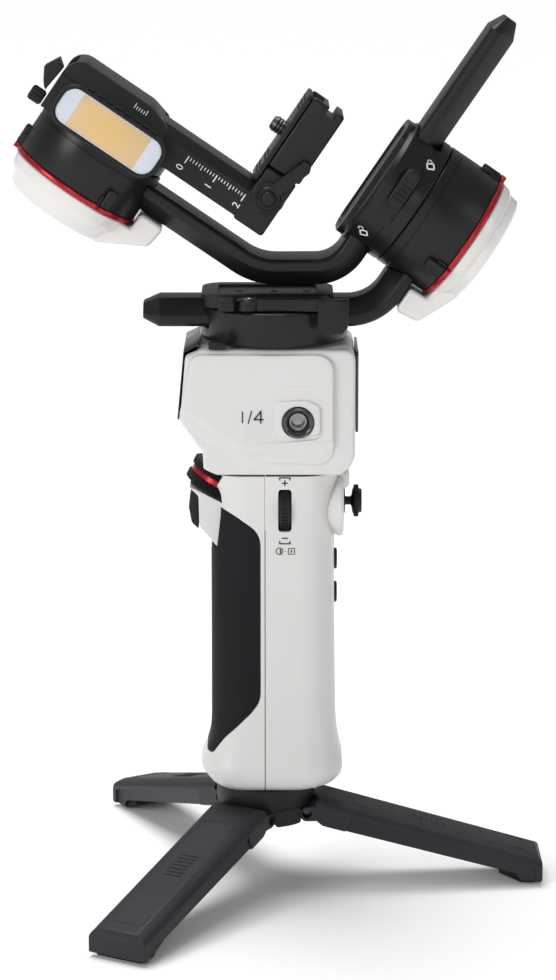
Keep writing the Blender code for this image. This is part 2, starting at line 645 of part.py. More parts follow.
# ---- tilt axis ----
def tilt_clamp():
    clamp = turned("tilt_clamp", [(0, -40.4), (24.4, -40.4), (24.4, -44.6), (0, -44.6)],
                   BLACK_METAL, TILT, 36)
    body = slab([(17.6, -40.8), (17.6, -26.4), (14.6, -23.3), (-15.0, -23.3), (-24.9, -30.4),
                 (-24.9, -44.5), (-12.0, -44.5), (-12.0, -42.0)], -26.5, 17.0, "x")
    fuse(clamp, tool(to_mesh(body), TILT))
    tunnel = block((-60, -RAIL_HALF - 0.4, RAIL_LOW - 0.4), (60, RAIL_HALF + 0.4, RAIL_HIGH + 0.4))
    cut(clamp, tool(tunnel, TILT))
    bezel_shape = slab(rounded([(-23.5, -46.3, 5.5), (21.3, -46.3, 5.5), (21.3, -29.8, 5.5),
                                (-23.5, -29.8, 5.5)], 3), -29.6, -25.2)
    bezel = piece("light_bezel", to_mesh(bezel_shape), BLACK_PLASTIC, TILT)
    window = slab(rounded([(-22.0, -45.2, 4.6), (19.8, -45.2, 4.6), (19.8, -30.9, 4.6),
                           (-22.0, -30.9, 4.6)], 3), -40, -27.2)
    cut(bezel, tool(to_mesh(window), TILT))
    panel = slab(rounded([(-21.7, -44.9, 4.3), (19.5, -44.9, 4.3), (19.5, -31.2, 4.3),
                          (-21.7, -31.2, 4.3)], 3), -29.2, -27.5)
    piece("light_panel", to_mesh(panel), LIGHT, TILT)
    wedge = slab([(-0.6, -1.0), (0.6, 9.0), (-2.6, 11.6), (-5.6, 6.0), (-3.0, 1.5), (-1.5, -0.3)],
                 -4.3, 4.3)
    piece("tilt_lever", to_mesh(wedge), BLACK_METAL, TILT, (-27.6, -19.6, -38.0))
    piece("tilt_lock", rod(3.0, -5.6, 0, "x", (0, 0), 18, 0.6), BLACK_PLASTIC, TILT,
          (-26.9, -19.0, -42.6))


# ---- camera rail and plate ----
def camera_rail():
    shape = slab([(-RAIL_HALF, RAIL_LOW), (RAIL_HALF, RAIL_LOW), (RAIL_HALF, RAIL_HIGH - 3.6),
                  (RAIL_HALF - 3.6, RAIL_HIGH), (3.6 - RAIL_HALF, RAIL_HIGH),
                  (-RAIL_HALF, RAIL_HIGH - 3.6)], -24.0, 58.0, "x")
    rail = piece("camera_arm", to_mesh(shape), BLACK_METAL, TILT)
    corner = block((54.2, -RAIL_HALF, -40.6), (67.0, RAIL_HALF, -17.6), 1.2)
    fuse(rail, tool(corner, TILT))
    platform = piece("platform", block((54.2, -RAIL_HALF, -17.2), (67.7, RAIL_HALF, 12.6), 1.0),
                     BLACK_METAL, TILT)
    channel = block((40.0, -9.6, -16.0), (58.7, 9.6, 30.0))
    cut(platform, tool(channel, TILT))
    plate = piece("quick_plate", block((52.2, -14.0, -25.0), (53.9, 14.0, 12.4), 2.0, "x"),
                  BLACK_METAL, TILT)
    tongue = block((53.0, -9.2, -12.0), (58.3, 9.2, 3.0))
    fuse(plate, tool(tongue, TILT))
    cut(plate, tool(rod(3.5, 40, 70, "x", (0, -4.5), 20), TILT),
        tool(rod(6.4, 54.0, 70, "x", (0, -4.5), 20), TILT))
    turned("camera_screw", [(0, 11.7), (6.1, 11.7), (6.1, 9.7), (3.1, 9.7), (3.1, 1.6),
                            (2.5, 1.0), (0, 1.0)], STEEL, TILT, 20,
           (46.2, 0, -4.5), (0, 90, 0))
    lever = turned("plate_lever", [(0, 4.6), (2.6, 4.6), (3.4, 3.8), (3.4, 3.0), (6.0, 2.6),
                                   (6.0, 0.0), (0, 0.0)], BLACK_METAL, TILT, 24,
                   (61.0, -RAIL_HALF - GAP, -27.1), (90, 0, 0))
    handle = slab([(-1.8, 3.0), (1.8, 3.0), (6.6, 16.6), (6.2, 18.6), (3.4, 18.8), (2.6, 17.0)],
                  -2.8, -0.2)
    fuse(lever, tool(to_mesh(handle), TILT, (61.0, -RAIL_HALF - GAP, -27.1)))


# ---- tripod ----
def hub():
    hub_solid = turned("tripod_hub", [
        (0, 39.6), (18.7, 39.6), (18.7, 31.6), (18.2, 31.2), (18.2, 25.2), (17.4, 24.7),
        (0, 24.7)], BLACK_PLASTIC, HANDLE, 30)
    r = LEG_PIVOT[0]
    for i in range(LEG_COUNT):
        spot = (0, 0, 360 * i / LEG_COUNT)
        w = LEG_HALF + 0.5
        around = slab([(10.4, -w), (30, -w), (30, w), (10.4, w), (10.4, 3.6), (r + 2.9, 3.6),
                       (r + 2.9, -3.6), (10.4, -3.6)], 20.0, 31.5, "z")
        bore = rod(PIN_RADIUS + GAP, -6, 6, "y", LEG_PIVOT, 14)
        cut(hub_solid, tool(to_mesh(around), HANDLE, (0, 0, 0), spot),
            tool(bore, HANDLE, (0, 0, 0), spot))


def leg_outline():
    """In the leg's own frame, from its hinge: radius, then height."""
    pr, pz = LEG_PIVOT
    eye = [(2.8 * math.cos(a), 2.8 * math.sin(a))
           for a in [math.radians(90 + 30 * k) for k in range(7)]]
    rest = [(19.6, 25.6), (22.0, 23.6), (26.0, 22.5), (99.5, 3.3), (LEG_REACH, 3.3),
            (LEG_REACH, 8.6), (104.8, 10.9), (30.0, 31.9), (24.0, 33.6), (20.6, 33.8),
            (19.4, 32.8), (19.4, 31.1)]
    return eye + [(x - pr, z - pz) for x, z in rest]


def leg(name, angle):
    pr, pz = LEG_PIVOT
    swing = frame("swing_" + name, (0, 0, 0), (0, 0, angle), HANDLE)
    hinge = (pr, 0, pz)
    shape = slab(leg_outline(), -LEG_HALF, LEG_HALF)
    crown = [e for e in shape.edges if abs(e.verts[0].co.y - e.verts[1].co.y) < 0.01
             and min(v.co.z for v in e.verts) > 4 - 0.281 * min(v.co.x for v in e.verts)
             and min(v.co.x for v in e.verts) > 5]
    round_edges(shape, crown, 3.6, 2)
    body = piece("leg_" + name, to_mesh(shape), LEG_GREY, swing, hinge)
    fork = block((-6, -3.9, -12), (5.4, 3.9, 3.4))
    bore = rod(PIN_RADIUS + GAP, -OVER * 4, OVER * 4, "y", (0, 0), 14)
    cut(body, tool(fork, swing, hinge), tool(bore, swing, hinge))
    piece("leg_pin_" + name, rod(PIN_RADIUS, -9, 9, "y", (0, 0), 14), STEEL, swing, hinge)
    pad = slab([(90.0 - pr, 5.5 - pz), (99.6 - pr, 3.0 - pz), (106.3 - pr, 3.0 - pz),
                (106.3 - pr, 1.0 - pz), (105.3 - pr, -pz), (98.5 - pr, -pz),
                (90.0 - pr, 3.8 - pz)], -10.0, 10.0)
    piece("foot_" + name, to_mesh(pad), RUBBER, swing, hinge)


# ---- the whole gimbal ----
clear_scene()
FRAMES = new_collection("joint_frames")
PARTS = new_collection("gimbal_stabilizer")
TOOLS = new_collection("cutters")

HANDLE = frame("handle_axis", (HANDLE_X, 0, 0))
PAN = frame("pan_axis", (PAN_X, 0, PAN_ARM_Z), parent=HANDLE)
ROLL = frame("roll_axis", ROLL_ORIGIN, (0, ROLL_TILT, 0), HANDLE)
TILT = frame("tilt_axis", (TILT_X, 0, 0), parent=ROLL)
ROLL_MOTOR = frame("roll_motor", (0, 0, 0), (0, 90, 180), ROLL)
TILT_MOTOR = frame("tilt_motor", (0, 0, TILT_SPLIT), parent=TILT)

front_shell()
rear_shell()
grip_pad()
head()
controls()
pan_rotor()
pan_clamp()
pan_lever()
pan_arm()
motor("roll", ROLL_MOTOR_LENGTH, 9.0, -PAN_ARM_ROOT - ARM_HEIGHT / 2, ROLL_MOTOR, 20.6)
roll_clamp()
roll_arm()
motor("tilt", TILT_MOTOR_LENGTH, 11.6, TILT_ARM_Z - TILT_SPLIT - ARM_HEIGHT / 2, TILT_MOTOR, 18.8)
tilt_clamp()
camera_rail()
hub()
for number, leg_name in enumerate(("right", "far", "near")):
    leg(leg_name, 360 * number / LEG_COUNT)
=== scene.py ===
"""Looks of a compact three-axis camera gimbal on a mini tripod.

Pieces are shaped in millimetres in the frame of the axis that they belong to, and then set down
in the world in metres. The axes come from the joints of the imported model.
"""
import json
import math
from contextlib import contextmanager

import bmesh
import bpy
from mathutils import Matrix, Vector


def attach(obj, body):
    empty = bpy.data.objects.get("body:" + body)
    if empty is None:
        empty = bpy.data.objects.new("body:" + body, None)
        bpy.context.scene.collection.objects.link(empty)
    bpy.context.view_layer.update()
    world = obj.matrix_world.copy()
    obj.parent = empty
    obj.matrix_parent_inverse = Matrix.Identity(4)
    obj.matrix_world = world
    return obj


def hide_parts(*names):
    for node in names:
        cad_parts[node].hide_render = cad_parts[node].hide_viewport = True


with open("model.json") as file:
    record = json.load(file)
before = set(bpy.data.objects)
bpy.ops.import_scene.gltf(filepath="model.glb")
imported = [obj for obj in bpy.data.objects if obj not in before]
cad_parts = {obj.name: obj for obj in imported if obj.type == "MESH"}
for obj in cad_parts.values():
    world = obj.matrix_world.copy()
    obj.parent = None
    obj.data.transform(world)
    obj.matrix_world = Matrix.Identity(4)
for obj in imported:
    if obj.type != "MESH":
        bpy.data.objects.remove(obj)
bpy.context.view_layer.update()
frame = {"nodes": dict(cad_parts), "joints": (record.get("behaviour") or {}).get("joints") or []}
bpy.ops.object.select_all(action="DESELECT")

# ---- sizes, in millimetres unless a name says otherwise ----
MM = 0.001
AIR = 0.3  # gap between neighbouring pieces
MANY = 96  # sides of a large round piece
FEW = 48  # sides of a small one
FINEST = 128  # sides of a motor's case, ring, cap and clamp drum

JOINTS = {joint["name"]: joint for joint in frame["joints"]}
PAN_Z = JOINTS["pan_spin"]["pos_m"][2] / MM
ROLL_TILT = 34.2  # slope of the roll axis, in degrees
PAN_X = 3.5  # pan axis from the handle axis
HEAD_TOP = 211.0
NECK_TOP = 163.0
HANDLE_FOOT = 39.9
ARM_WIDTH = 24.0
ARM_HEIGHT = 10.1
ARM_CHAMFER = 5.8
MOTOR_RADIUS = 25.0
ROLL_LENGTH = 21.0
TILT_LENGTH = 18.2
SLIDE_GAP = 0.4  # beside an arm or the rail in its clamp
ARM_TIP = 6.0  # length of an arm's tapered end
PAN_SPLIT = 225.0  # top of the pan motor
PAN_CLAMP_TOP = 229.7
PAN_LEVER_TOP = 229.6
PAN_LEVER_PIVOT = (-9.6, -21.6)
PAN_ARM_START = -45.3  # the arm's free end, from the handle axis
PAN_ARM_RADIUS = 19.0  # of its bend
PAN_ARM_RISE = 22.0  # from its corner to its other end
PAN_ARM_ROOT = 10.4
ROLL_BAR_X = -9.25
ROLL_BAR_TOP = 75.4
ROLL_BAR_LOW = -36.0  # height of its first corner
ROLL_BAR_KNEE = -34.2  # x of its second corner
ROLL_BAR_RADII = (16.0, 24.0)
TILT_X = -107.5
TILT_SPLIT = -45.0
TILT_ARM_Z = -53.1
RAIL_HALF = 14.0
RAIL_LOW = -39.6
RAIL_HIGH = -25.6
PORT = (12.2, 184.4)
TILT_ZERO = 28.5  # the ruler's zero, from the tilt axis
RULER_TOP = -31.0
LEG_PIVOT = (16.0, 28.3)
LEG_HALF = 12.0
LEG_FALL = math.atan(21.0 / 74.8)  # slope of a leg's upper face, in radians
WHEEL_X = 7.4
STICK_Z = 149.0
BUTTONS = {"record_button": 126.5, "mode_button": 113.5}  # heights
POWER_X, POWER_Z = 10.0, 150.0


# ---- frames ----
def axes(origin, x, y, z):
    """Millimetres on these axes, as metres in the world."""
    turn = Matrix((x, y, z)).transposed().to_4x4()
    return Matrix.Translation(origin) @ turn @ Matrix.Scale(MM, 4)


def joint_point(name):
    return Vector(JOINTS[name]["pos_m"])


UP = Vector((0, 0, 1))
AWAY = Vector((0, 1, 0))
RIGHT = Vector((1, 0, 0))
ALONG = Vector(JOINTS["roll_spin"]["axis"])
ABOVE = Vector(JOINTS["tilt_spin"]["axis"])
HANDLE = axes(Vector((joint_point("pan_spin").x - PAN_X * MM, 0, 0)), RIGHT, AWAY, UP)
PAN = axes(joint_point("pan_spin"), RIGHT, AWAY, UP)
ROLL = axes(joint_point("roll_spin"), ALONG, AWAY, ABOVE)
TILT = axes(joint_point("tilt_spin"), ALONG, AWAY, ABOVE)
ROLL_MOTOR = axes(joint_point("roll_spin"), -ABOVE, -AWAY, -ALONG)
TILT_MOTOR = TILT @ Matrix.Translation((0, 0, TILT_SPLIT))


def spot(x=0.0, y=0.0, z=0.0, turn=0.0, about="Z"):
    """A place in a frame, turned in degrees about one of its axes."""
    return Matrix.Translation((x, y, z)) @ Matrix.Rotation(math.radians(turn), 4, about)


# ---- modelling by hand ----
def alone():
    bpy.ops.object.select_all(action="DESELECT")


def pick(shape):
    """Selects one object alone and makes it the active one."""
    alone()
    shape.select_set(True)
    bpy.context.view_layer.objects.active = shape


def placed(name, data):
    """A new object in the scene that holds some data."""
    made = bpy.data.objects.new(name, data)
    bpy.context.scene.collection.objects.link(made)
    return made


@contextmanager
def editing(shape):
    pick(shape)
    bpy.ops.object.mode_set(mode="EDIT")
    bpy.ops.mesh.select_mode(type="VERT")
    bpy.ops.mesh.select_all(action="SELECT")
    yield
    bpy.ops.object.mode_set(mode="OBJECT")


def choose(shape, kind, wanted):
    """Selects the vertices, edges or faces that pass a test. Call it while editing."""
    bpy.ops.mesh.select_all(action="DESELECT")
    bpy.ops.mesh.select_mode(type=kind)
    mesh = bmesh.from_edit_mesh(shape.data)
    items = {"VERT": mesh.verts, "EDGE": mesh.edges, "FACE": mesh.faces}[kind]
    for item in items:
        if wanted(item):
            item.select_set(True)
    mesh.select_flush_mode()
    bmesh.update_edit_mesh(shape.data)


def block(low, high):
    alone()
    middle = (Vector(low) + Vector(high)) / 2
    bpy.ops.mesh.primitive_cube_add(size=1, location=middle)
    shape = bpy.context.object
    shape.scale = Vector(high) - Vector(low)
    bpy.ops.object.transform_apply(location=True, rotation=True, scale=True)
    return shape


def ends(edge):
    return edge.verts[0].co, edge.verts[1].co


def level_with(edge, axis):
    """True for an edge that runs along an axis."""
    a, b = ends(edge)
    return abs((b - a).normalized()["xyz".index(axis)]) > 0.95


def bevel_edges(shape, width, steps, wanted):
    with editing(shape):
        choose(shape, "EDGE", wanted)
        bpy.ops.mesh.bevel(offset=width, segments=steps, affect="EDGES", clamp_overlap=True)
    return shape


def turned(profile, sides=MANY, hollow=False):
    """A round solid about Z, drawn from ring to ring of a profile (radius, z)."""
    alone()
    radius, z = profile[0]
    bpy.ops.mesh.primitive_circle_add(vertices=sides, radius=radius, location=(0, 0, z))
    shape = bpy.context.object
    bpy.ops.object.transform_apply(location=True)
    rest = list(profile[1:])
    if hollow:
        rest.append(profile[0])
    with editing(shape):
        for next_radius, next_z in rest:
            bpy.ops.mesh.extrude_region_move(TRANSFORM_OT_translate={"value": (0, 0, next_z - z)})
            grow = next_radius / radius
            bpy.ops.transform.resize(value=(grow, grow, 1), center_override=(0, 0, 0))
            radius, z = next_radius, next_z
        bpy.ops.mesh.select_all(action="SELECT")
        bpy.ops.mesh.remove_doubles(threshold=0.0005)
        if not hollow:
            bpy.ops.mesh.fill_holes(sides=0)
        bpy.ops.mesh.select_all(action="SELECT")
        bpy.ops.mesh.normals_make_consistent(inside=False)
    return shape


def along(shape, axis, at=(0, 0, 0)):
    """Turns a shape that was made about Z to another axis, and moves it."""
    turn = {"x": Matrix.Rotation(math.radians(90), 4, "Y"),
            "-y": Matrix.Rotation(math.radians(90), 4, "X"),
            "y": Matrix.Rotation(math.radians(-90), 4, "X"),
            "z": Matrix.Identity(4)}[axis]
    shape.data.transform(Matrix.Translation(at) @ turn)
    return shape


def arc_corners(corners, steps=6):
    """An outline from corners (x, y, radius), each one rounded."""
    points = []
    for i, (x, y, radius) in enumerate(corners):
        here = Vector((x, y))
        before = Vector(corners[i - 1][:2]) - here
        after = Vector(corners[(i + 1) % len(corners)][:2]) - here
        if not radius:
            points.append((x, y))
            continue
        half = before.angle(after) / 2
        middle = (before.normalized() + after.normalized()).normalized()
        centre = here + middle * (radius / math.sin(half))
        reach = radius / math.tan(half)
        first = here + before.normalized() * reach - centre
        last = here + after.normalized() * reach - centre
        sweep = math.atan2(first.x * last.y - first.y * last.x, first.dot(last))
        for k in range(steps + 1):
            points.append(tuple(centre + Matrix.Rotation(sweep * k / steps, 2) @ first))
    return points


def plate(outline, low, high, across="y"):
    """A flat curve given thickness: in XZ across Y, in XY across Z, or in YZ across X."""
    curve = bpy.data.curves.new("outline", "CURVE")
    curve.dimensions = "2D"
    curve.fill_mode = "BOTH"
    curve.extrude = (high - low) / 2
    line = curve.splines.new("POLY")
    line.points.add(len(outline) - 1)
    for point, (x, y) in zip(line.points, outline):
        point.co = (x, y, 0, 1)
    line.use_cyclic_u = True
    pick(placed("outline", curve))
    bpy.ops.object.convert(target="MESH")
    shape = bpy.context.object
    lift = Matrix.Translation((0, 0, (low + high) / 2))
    turn = {"y": Matrix.Rotation(math.radians(90), 4, "X") @ Matrix.Scale(-1, 4, (0, 0, 1)),
            "x": Matrix(((0, 0, 1, 0), (1, 0, 0, 0), (0, 1, 0, 0), (0, 0, 0, 1))),
            "z": Matrix.Identity(4)}[across]
    shape.data.transform(turn @ lift)
    with editing(shape):
        bpy.ops.mesh.remove_doubles(threshold=0.001)
        bpy.ops.mesh.dissolve_limited(angle_limit=0.001)
        bpy.ops.mesh.select_all(action="SELECT")
        bpy.ops.mesh.normals_make_consistent(inside=False)
    return shape


def boxy(levels, steps=8):
    """A solid drawn up through rounded rectangles (z, x_front, x_rear, half_width, corner)."""
    z, front, rear, half, corner = levels[0]
    alone()
    bpy.ops.mesh.primitive_plane_add(size=1, location=((front + rear) / 2, 0, z))
    shape = bpy.context.object
    shape.scale = (rear - front, 2 * half, 1)
    bpy.ops.object.transform_apply(location=True, scale=True)
    with editing(shape):
        bpy.ops.mesh.bevel(offset=corner, offset_type="OFFSET", segments=steps, affect="VERTICES")
        bpy.ops.mesh.select_all(action="SELECT")
        width, depth, middle = rear - front, 2 * half, (front + rear) / 2
        for next_z, front, rear, half, corner in levels[1:]:
            shift = ((front + rear) / 2 - middle, 0, next_z - z)
            bpy.ops.mesh.extrude_region_move(TRANSFORM_OT_translate={"value": shift})
            middle += shift[0]
            bpy.ops.transform.resize(value=((rear - front) / width, 2 * half / depth, 1),
                                     center_override=(middle, 0, next_z))
            width, depth, z = rear - front, 2 * half, next_z
        bpy.ops.mesh.select_all(action="SELECT")
        bpy.ops.mesh.normals_make_consistent(inside=False)
    return shape


def change(shape, kind, **settings):
    """Adds a modifier and applies it."""
    modifier = shape.modifiers.new(kind.lower(), kind)
    for name, value in settings.items():
        setattr(modifier, name, value)
    pick(shape)
    bpy.ops.object.modifier_apply(modifier=modifier.name)
    return shape


def combine(shape, operation, others):
    for other in others:
        change(shape, "BOOLEAN", operation=operation, solver="EXACT", object=other)
        bpy.data.objects.remove(other, do_unlink=True)
    return shape


def cut(shape, *others):
    return combine(shape, "DIFFERENCE", others)


def fuse(shape, *others):
    return combine(shape, "UNION", others)


def soften(shape, width, steps=3, angle=32):
    """Rounds every edge sharper than an angle."""
    return change(shape, "BEVEL", width=width, segments=steps, limit_method="ANGLE",
                  angle_limit=math.radians(angle), use_clamp_overlap=True)


def traced(node):
    """A merged copy of a part's own solid, to refine. It is in metres, in the world."""
    shape = placed(node + "_traced", frame["nodes"][node].data.copy())
    shape.data.materials.clear()
    with editing(shape):
        bpy.ops.mesh.customdata_custom_splitnormals_clear()
        bpy.ops.mesh.remove_doubles(threshold=0.000002)
        bpy.ops.mesh.dissolve_limited(angle_limit=0.01)
    return shape


def joined(shapes):
    alone()
    for shape in shapes:
        shape.select_set(True)
    bpy.context.view_layer.objects.active = shapes[0]
    bpy.ops.object.join()
    return bpy.context.object


def copies(shape, places):
    """One object with a copy of a shape at each place."""
    made = []
    for place in places:
        twin = placed("copy", shape.data.copy())
        twin.data.transform(place)
        made.append(twin)
    bpy.data.objects.remove(shape, do_unlink=True)
    return joined(made)


def mirrored(shape):
    """Mirrors a shape across the plane y = 0, its faces still outwards."""
    shape.data.transform(Matrix.Diagonal((1, -1, 1, 1)))
    with editing(shape):
        bpy.ops.mesh.flip_normals()
    return shape


def settle(shape, name, place, body, slot, coat, *stands_for, angle=35):
    """Sets a finished shape down in the world and says what it belongs to."""
    change(shape, "TRIANGULATE")
    shape.name = name
    shape.data.name = name
    shape.data.transform(place)
    pick(shape)
    bpy.ops.object.shade_smooth_by_angle(angle=math.radians(angle))
    shape.data.materials.clear()
    shape.data.materials.append(coat)
    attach(shape, body)
    if stands_for:
        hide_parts(*stands_for)
    return shape


def refine(node, body, slot, coat, width=0.4, steps=3, angle=32, name=None):
    """A part's own solid with its edges rounded."""
    shape = soften(traced(node), width * MM, steps, angle)
    return settle(shape, name or node + "_body", Matrix.Identity(4), body, slot, coat, node)


# ---- materials ----
def finish(name, colour, rough, metal=0.0, vary=0.08, patch=40.0, grain=2200.0, depth=0.02,
           coat=0.0, rough_vary=0.08, shine=0.5):
    """A moulded or machined surface: broad colour and gloss changes, and a fine grain.

    patch and grain are noise scales per metre, and depth is the grain's height in millimetres.
    """
    made = bpy.data.materials.new(name)
    made.use_nodes = True
    tree = made.node_tree
    shader = tree.nodes["Principled BSDF"]
    shader.inputs["Metallic"].default_value = metal
    shader.inputs["Coat Weight"].default_value = coat
    shader.inputs["Specular IOR Level"].default_value = shine
    shader.inputs["Coat Roughness"].default_value = 0.12
    where = tree.nodes.new("ShaderNodeTexCoord").outputs["Object"]
    broad = tree.nodes.new("ShaderNodeTexNoise")
    broad.inputs["Scale"].default_value = patch
    broad.inputs["Detail"].default_value = 4
    tree.links.new(where, broad.inputs["Vector"])
    tint = tree.nodes.new("ShaderNodeValToRGB")
    tint.color_ramp.elements[0].position = 0.3
    tint.color_ramp.elements[1].position = 0.7
    tint.color_ramp.elements[0].color = (*[c * (1 - vary) for c in colour], 1)
    tint.color_ramp.elements[1].color = (*[min(1, c * (1 + vary)) for c in colour], 1)
    tree.links.new(broad.outputs["Fac"], tint.inputs["Fac"])
    tree.links.new(tint.outputs["Color"], shader.inputs["Base Color"])
    gloss = tree.nodes.new("ShaderNodeMapRange")
    gloss.inputs["To Min"].default_value = rough * (1 - rough_vary)
    gloss.inputs["To Max"].default_value = rough * (1 + rough_vary)
    tree.links.new(broad.outputs["Fac"], gloss.inputs["Value"])
    tree.links.new(gloss.outputs["Result"], shader.inputs["Roughness"])
    fine = tree.nodes.new("ShaderNodeTexNoise")
    fine.inputs["Scale"].default_value = grain
    fine.inputs["Detail"].default_value = 2
    tree.links.new(where, fine.inputs["Vector"])
    bump = tree.nodes.new("ShaderNodeBump")
    bump.inputs["Strength"].default_value = 0.6
    bump.inputs["Distance"].default_value = depth * MM
    tree.links.new(fine.outputs["Fac"], bump.inputs["Height"])
    tree.links.new(bump.outputs["Normal"], shader.inputs["Normal"])
    return made


WHITE = finish("white_moulding", (0.625, 0.61, 0.595), 0.36, vary=0.015, grain=4500, depth=0.008)
CAP_WHITE = finish("pearl_cap", (0.66, 0.64, 0.625), 0.24, vary=0.015, grain=5000, depth=0.004,
                   coat=0.3)
BLACK = finish("black_anodised", (0.0085, 0.0083, 0.0095), 0.38, vary=0.15, depth=0.012, shine=0.26)
SATIN = finish("black_satin_case", (0.0075, 0.0075, 0.008), 0.34, vary=0.12, depth=0.012,
               shine=0.26)
PLASTIC = finish("black_moulding", (0.010, 0.0102, 0.011), 0.46, vary=0.12, depth=0.02, shine=0.24)
TRIM = finish("gloss_trim", (0.02, 0.021, 0.024), 0.16, vary=0.05, depth=0.002, coat=0.4)
RUBBER = finish("grip_rubber", (0.0060, 0.0065, 0.0085), 0.62, vary=0.2, grain=1500, depth=0.05,
                shine=0.16)
LEG = finish("leg_moulding", (0.019, 0.0205, 0.0245), 0.48, vary=0.1, grain=1800, depth=0.03,
             shine=0.24)
RED = finish("red_anodised", (0.36, 0.012, 0.018), 0.25, metal=0.55, vary=0.1, depth=0.004)
STEEL = finish("turned_steel", (0.52, 0.52, 0.53), 0.30, metal=1.0, vary=0.06, depth=0.004)
DARK_STEEL = finish("dark_steel", (0.07, 0.07, 0.075), 0.36, metal=0.8, vary=0.1, depth=0.004)
COPPER = finish("copper_winding", (0.55, 0.27, 0.14), 0.4, metal=0.9, vary=0.15, depth=0.02)
SCREEN = finish("smoked_window", (0.012, 0.013, 0.016), 0.09, vary=0.05, depth=0.001, coat=0.5)
CELL = finish("cell_wrap", (0.10, 0.22, 0.38), 0.45, vary=0.06, depth=0.01)
BOARD = finish("circuit_board", (0.02, 0.16, 0.07), 0.45, vary=0.2, patch=300, depth=0.02)
DARK_INK = finish("dark_print", (0.025, 0.025, 0.028), 0.55, vary=0.1, depth=0.003)
WHITE_INK = finish("white_print", (0.78, 0.78, 0.78), 0.5, vary=0.05, depth=0.003)
LENS_WHITE = finish("light_lens", (0.56, 0.59, 0.66), 0.3, vary=0.02, depth=0.004)
SOCKET = finish("socket_metal", (0.50, 0.49, 0.47), 0.34, metal=0.6, vary=0.08, depth=0.006)


def glowing(name, middle, edge, half_length, half_width, centre):
    """A light diffuser: warmest in the middle, paler towards its long edges."""
    made = finish(name, middle, 0.45, vary=0.02, grain=1200, depth=0.03)
    tree = made.node_tree
    shader = tree.nodes["Principled BSDF"]
    where = tree.nodes.new("ShaderNodeTexCoord").outputs["Object"]
    fit = tree.nodes.new("ShaderNodeMapping")
    fit.vector_type = "TEXTURE"
    fit.inputs["Location"].default_value = centre
    fit.inputs["Rotation"].default_value = TILT.to_euler()
    fit.inputs["Scale"].default_value = (half_length * MM, MM * 100, half_width * MM)
    tree.links.new(where, fit.inputs["Vector"])
    ball = tree.nodes.new("ShaderNodeTexGradient")
    ball.gradient_type = "SPHERICAL"
    tree.links.new(fit.outputs["Vector"], ball.inputs["Vector"])
    ramp = tree.nodes.new("ShaderNodeValToRGB")
    ramp.color_ramp.elements[0].color = (*edge, 1)
    ramp.color_ramp.elements[1].color = (*middle, 1)
    ramp.color_ramp.elements[1].position = 0.8
    tree.links.new(ball.outputs["Fac"], ramp.inputs["Fac"])
    tree.links.new(ramp.outputs["Color"], shader.inputs["Base Color"])
    return made


# ---- handle ----
HANDLE_LEVELS = [
    (HANDLE_FOOT, -18.6, 22.4, 17.6, 12), (41.6, -20.6, 26.4, 20.4, 13.5),
    (44.6, -22.8, 29.0, 22.0, 14), (48.4, -24.4, 29.4, 22.4, 14.5), (52.5, -22.6, 28.6, 21.8, 14),
    (58.5, -21.0, 27.5, 21.0, 14), (68.0, -20.4, 26.7, 20.5, 14), (100.0, -20.3, 26.2, 20.4, 14),
    (132.0, -20.3, 25.9, 20.4, 14), (146.0, -18.6, 26.2, 20.6, 14), (155.0, -18.8, 27.0, 21.2, 14),
    (NECK_TOP, -22.4, 27.6, 22.0, 14),
]
PAD_DEPTH = 1.8
DIAL_AT = (-15.3, 0, 156.6)
DIAL_TILT = 27.0
DIAL_RADIUS = 14.0
DIAL_THICK = 9.4


def eased_levels(levels, parts=3):
    """More levels between the given ones, on a smooth curve through them."""
    smooth = [levels[0]]
    for i in range(len(levels) - 1):
        a = levels[max(i - 1, 0)]
        b, c = levels[i], levels[i + 1]
        d = levels[min(i + 2, len(levels) - 1)]
        for k in range(1, parts + 1):
            t = k / parts
            fixed = b[0] + (c[0] - b[0]) * t
            eased = [0.5 * (2 * q + (r - p) * t + (2 * p - 5 * q + 4 * r - s) * t * t
                            + (3 * q - p - 3 * r + s) * t ** 3)
                     for p, q, r, s in zip(a[1:], b[1:], c[1:], d[1:])]
            straight = [q + (r - q) * t for q, r in zip(b[1:], c[1:])]
            near = c[0] - b[0] < 10
            smooth.append((fixed, *(eased if near else straight)))
    return smooth


def inner(levels, by):
    return [(z, front + by, rear - by, half - by, corner - by)
            for z, front, rear, half, corner in levels]


def pad_outline(g=0.0):
    return arc_corners([
        (-1.9 + g, 76.0, 9), (-1.9 + g, 141.0, 9), (-11.0, 147.2 + g, 20), (-17.3, 149.8 + g, 1),
        (-34.0, 149.8 + g, 0), (-34.0, 53.0 - g, 0), (-20.0, 54.0 - g, 2), (-15.2, 61.2 - g, 12),
        (-5.5 + g, 71.5 - g, 9)], 5)


def nose_outline(g=0.0):
    top = NECK_TOP - 0.5
    return arc_corners([
        (-22.8 - g, top, 0), (-27.3 - g, 160.6 + g, 1.2), (-28.3 - g, 157.0 - g, 1.5),
        (-24.9 - g, 153.6 - g, 2), (-24.6 - g, 142.0 - g, 2.5), (-20.2 - g, 137.0 - g, 1.5),
        (-17.8 - g / 2, 133.9 - g, 1.7), (-14.6 + g, 135.6 - g, 1.5), (-13.8 + g, 141.0, 3),
        (-9.0 + g, 149.0 - g, 4), (0.5, 150.0, 0), (0.5, top, 0)], 4)


def dial_room(extra):
    half = DIAL_THICK / 2 + extra
    room = turned([(DIAL_RADIUS + extra + 0.2, -half), (DIAL_RADIUS + extra + 0.2, half)], 64)
    room.data.transform(spot(*DIAL_AT, DIAL_TILT, "Y"))
    return room


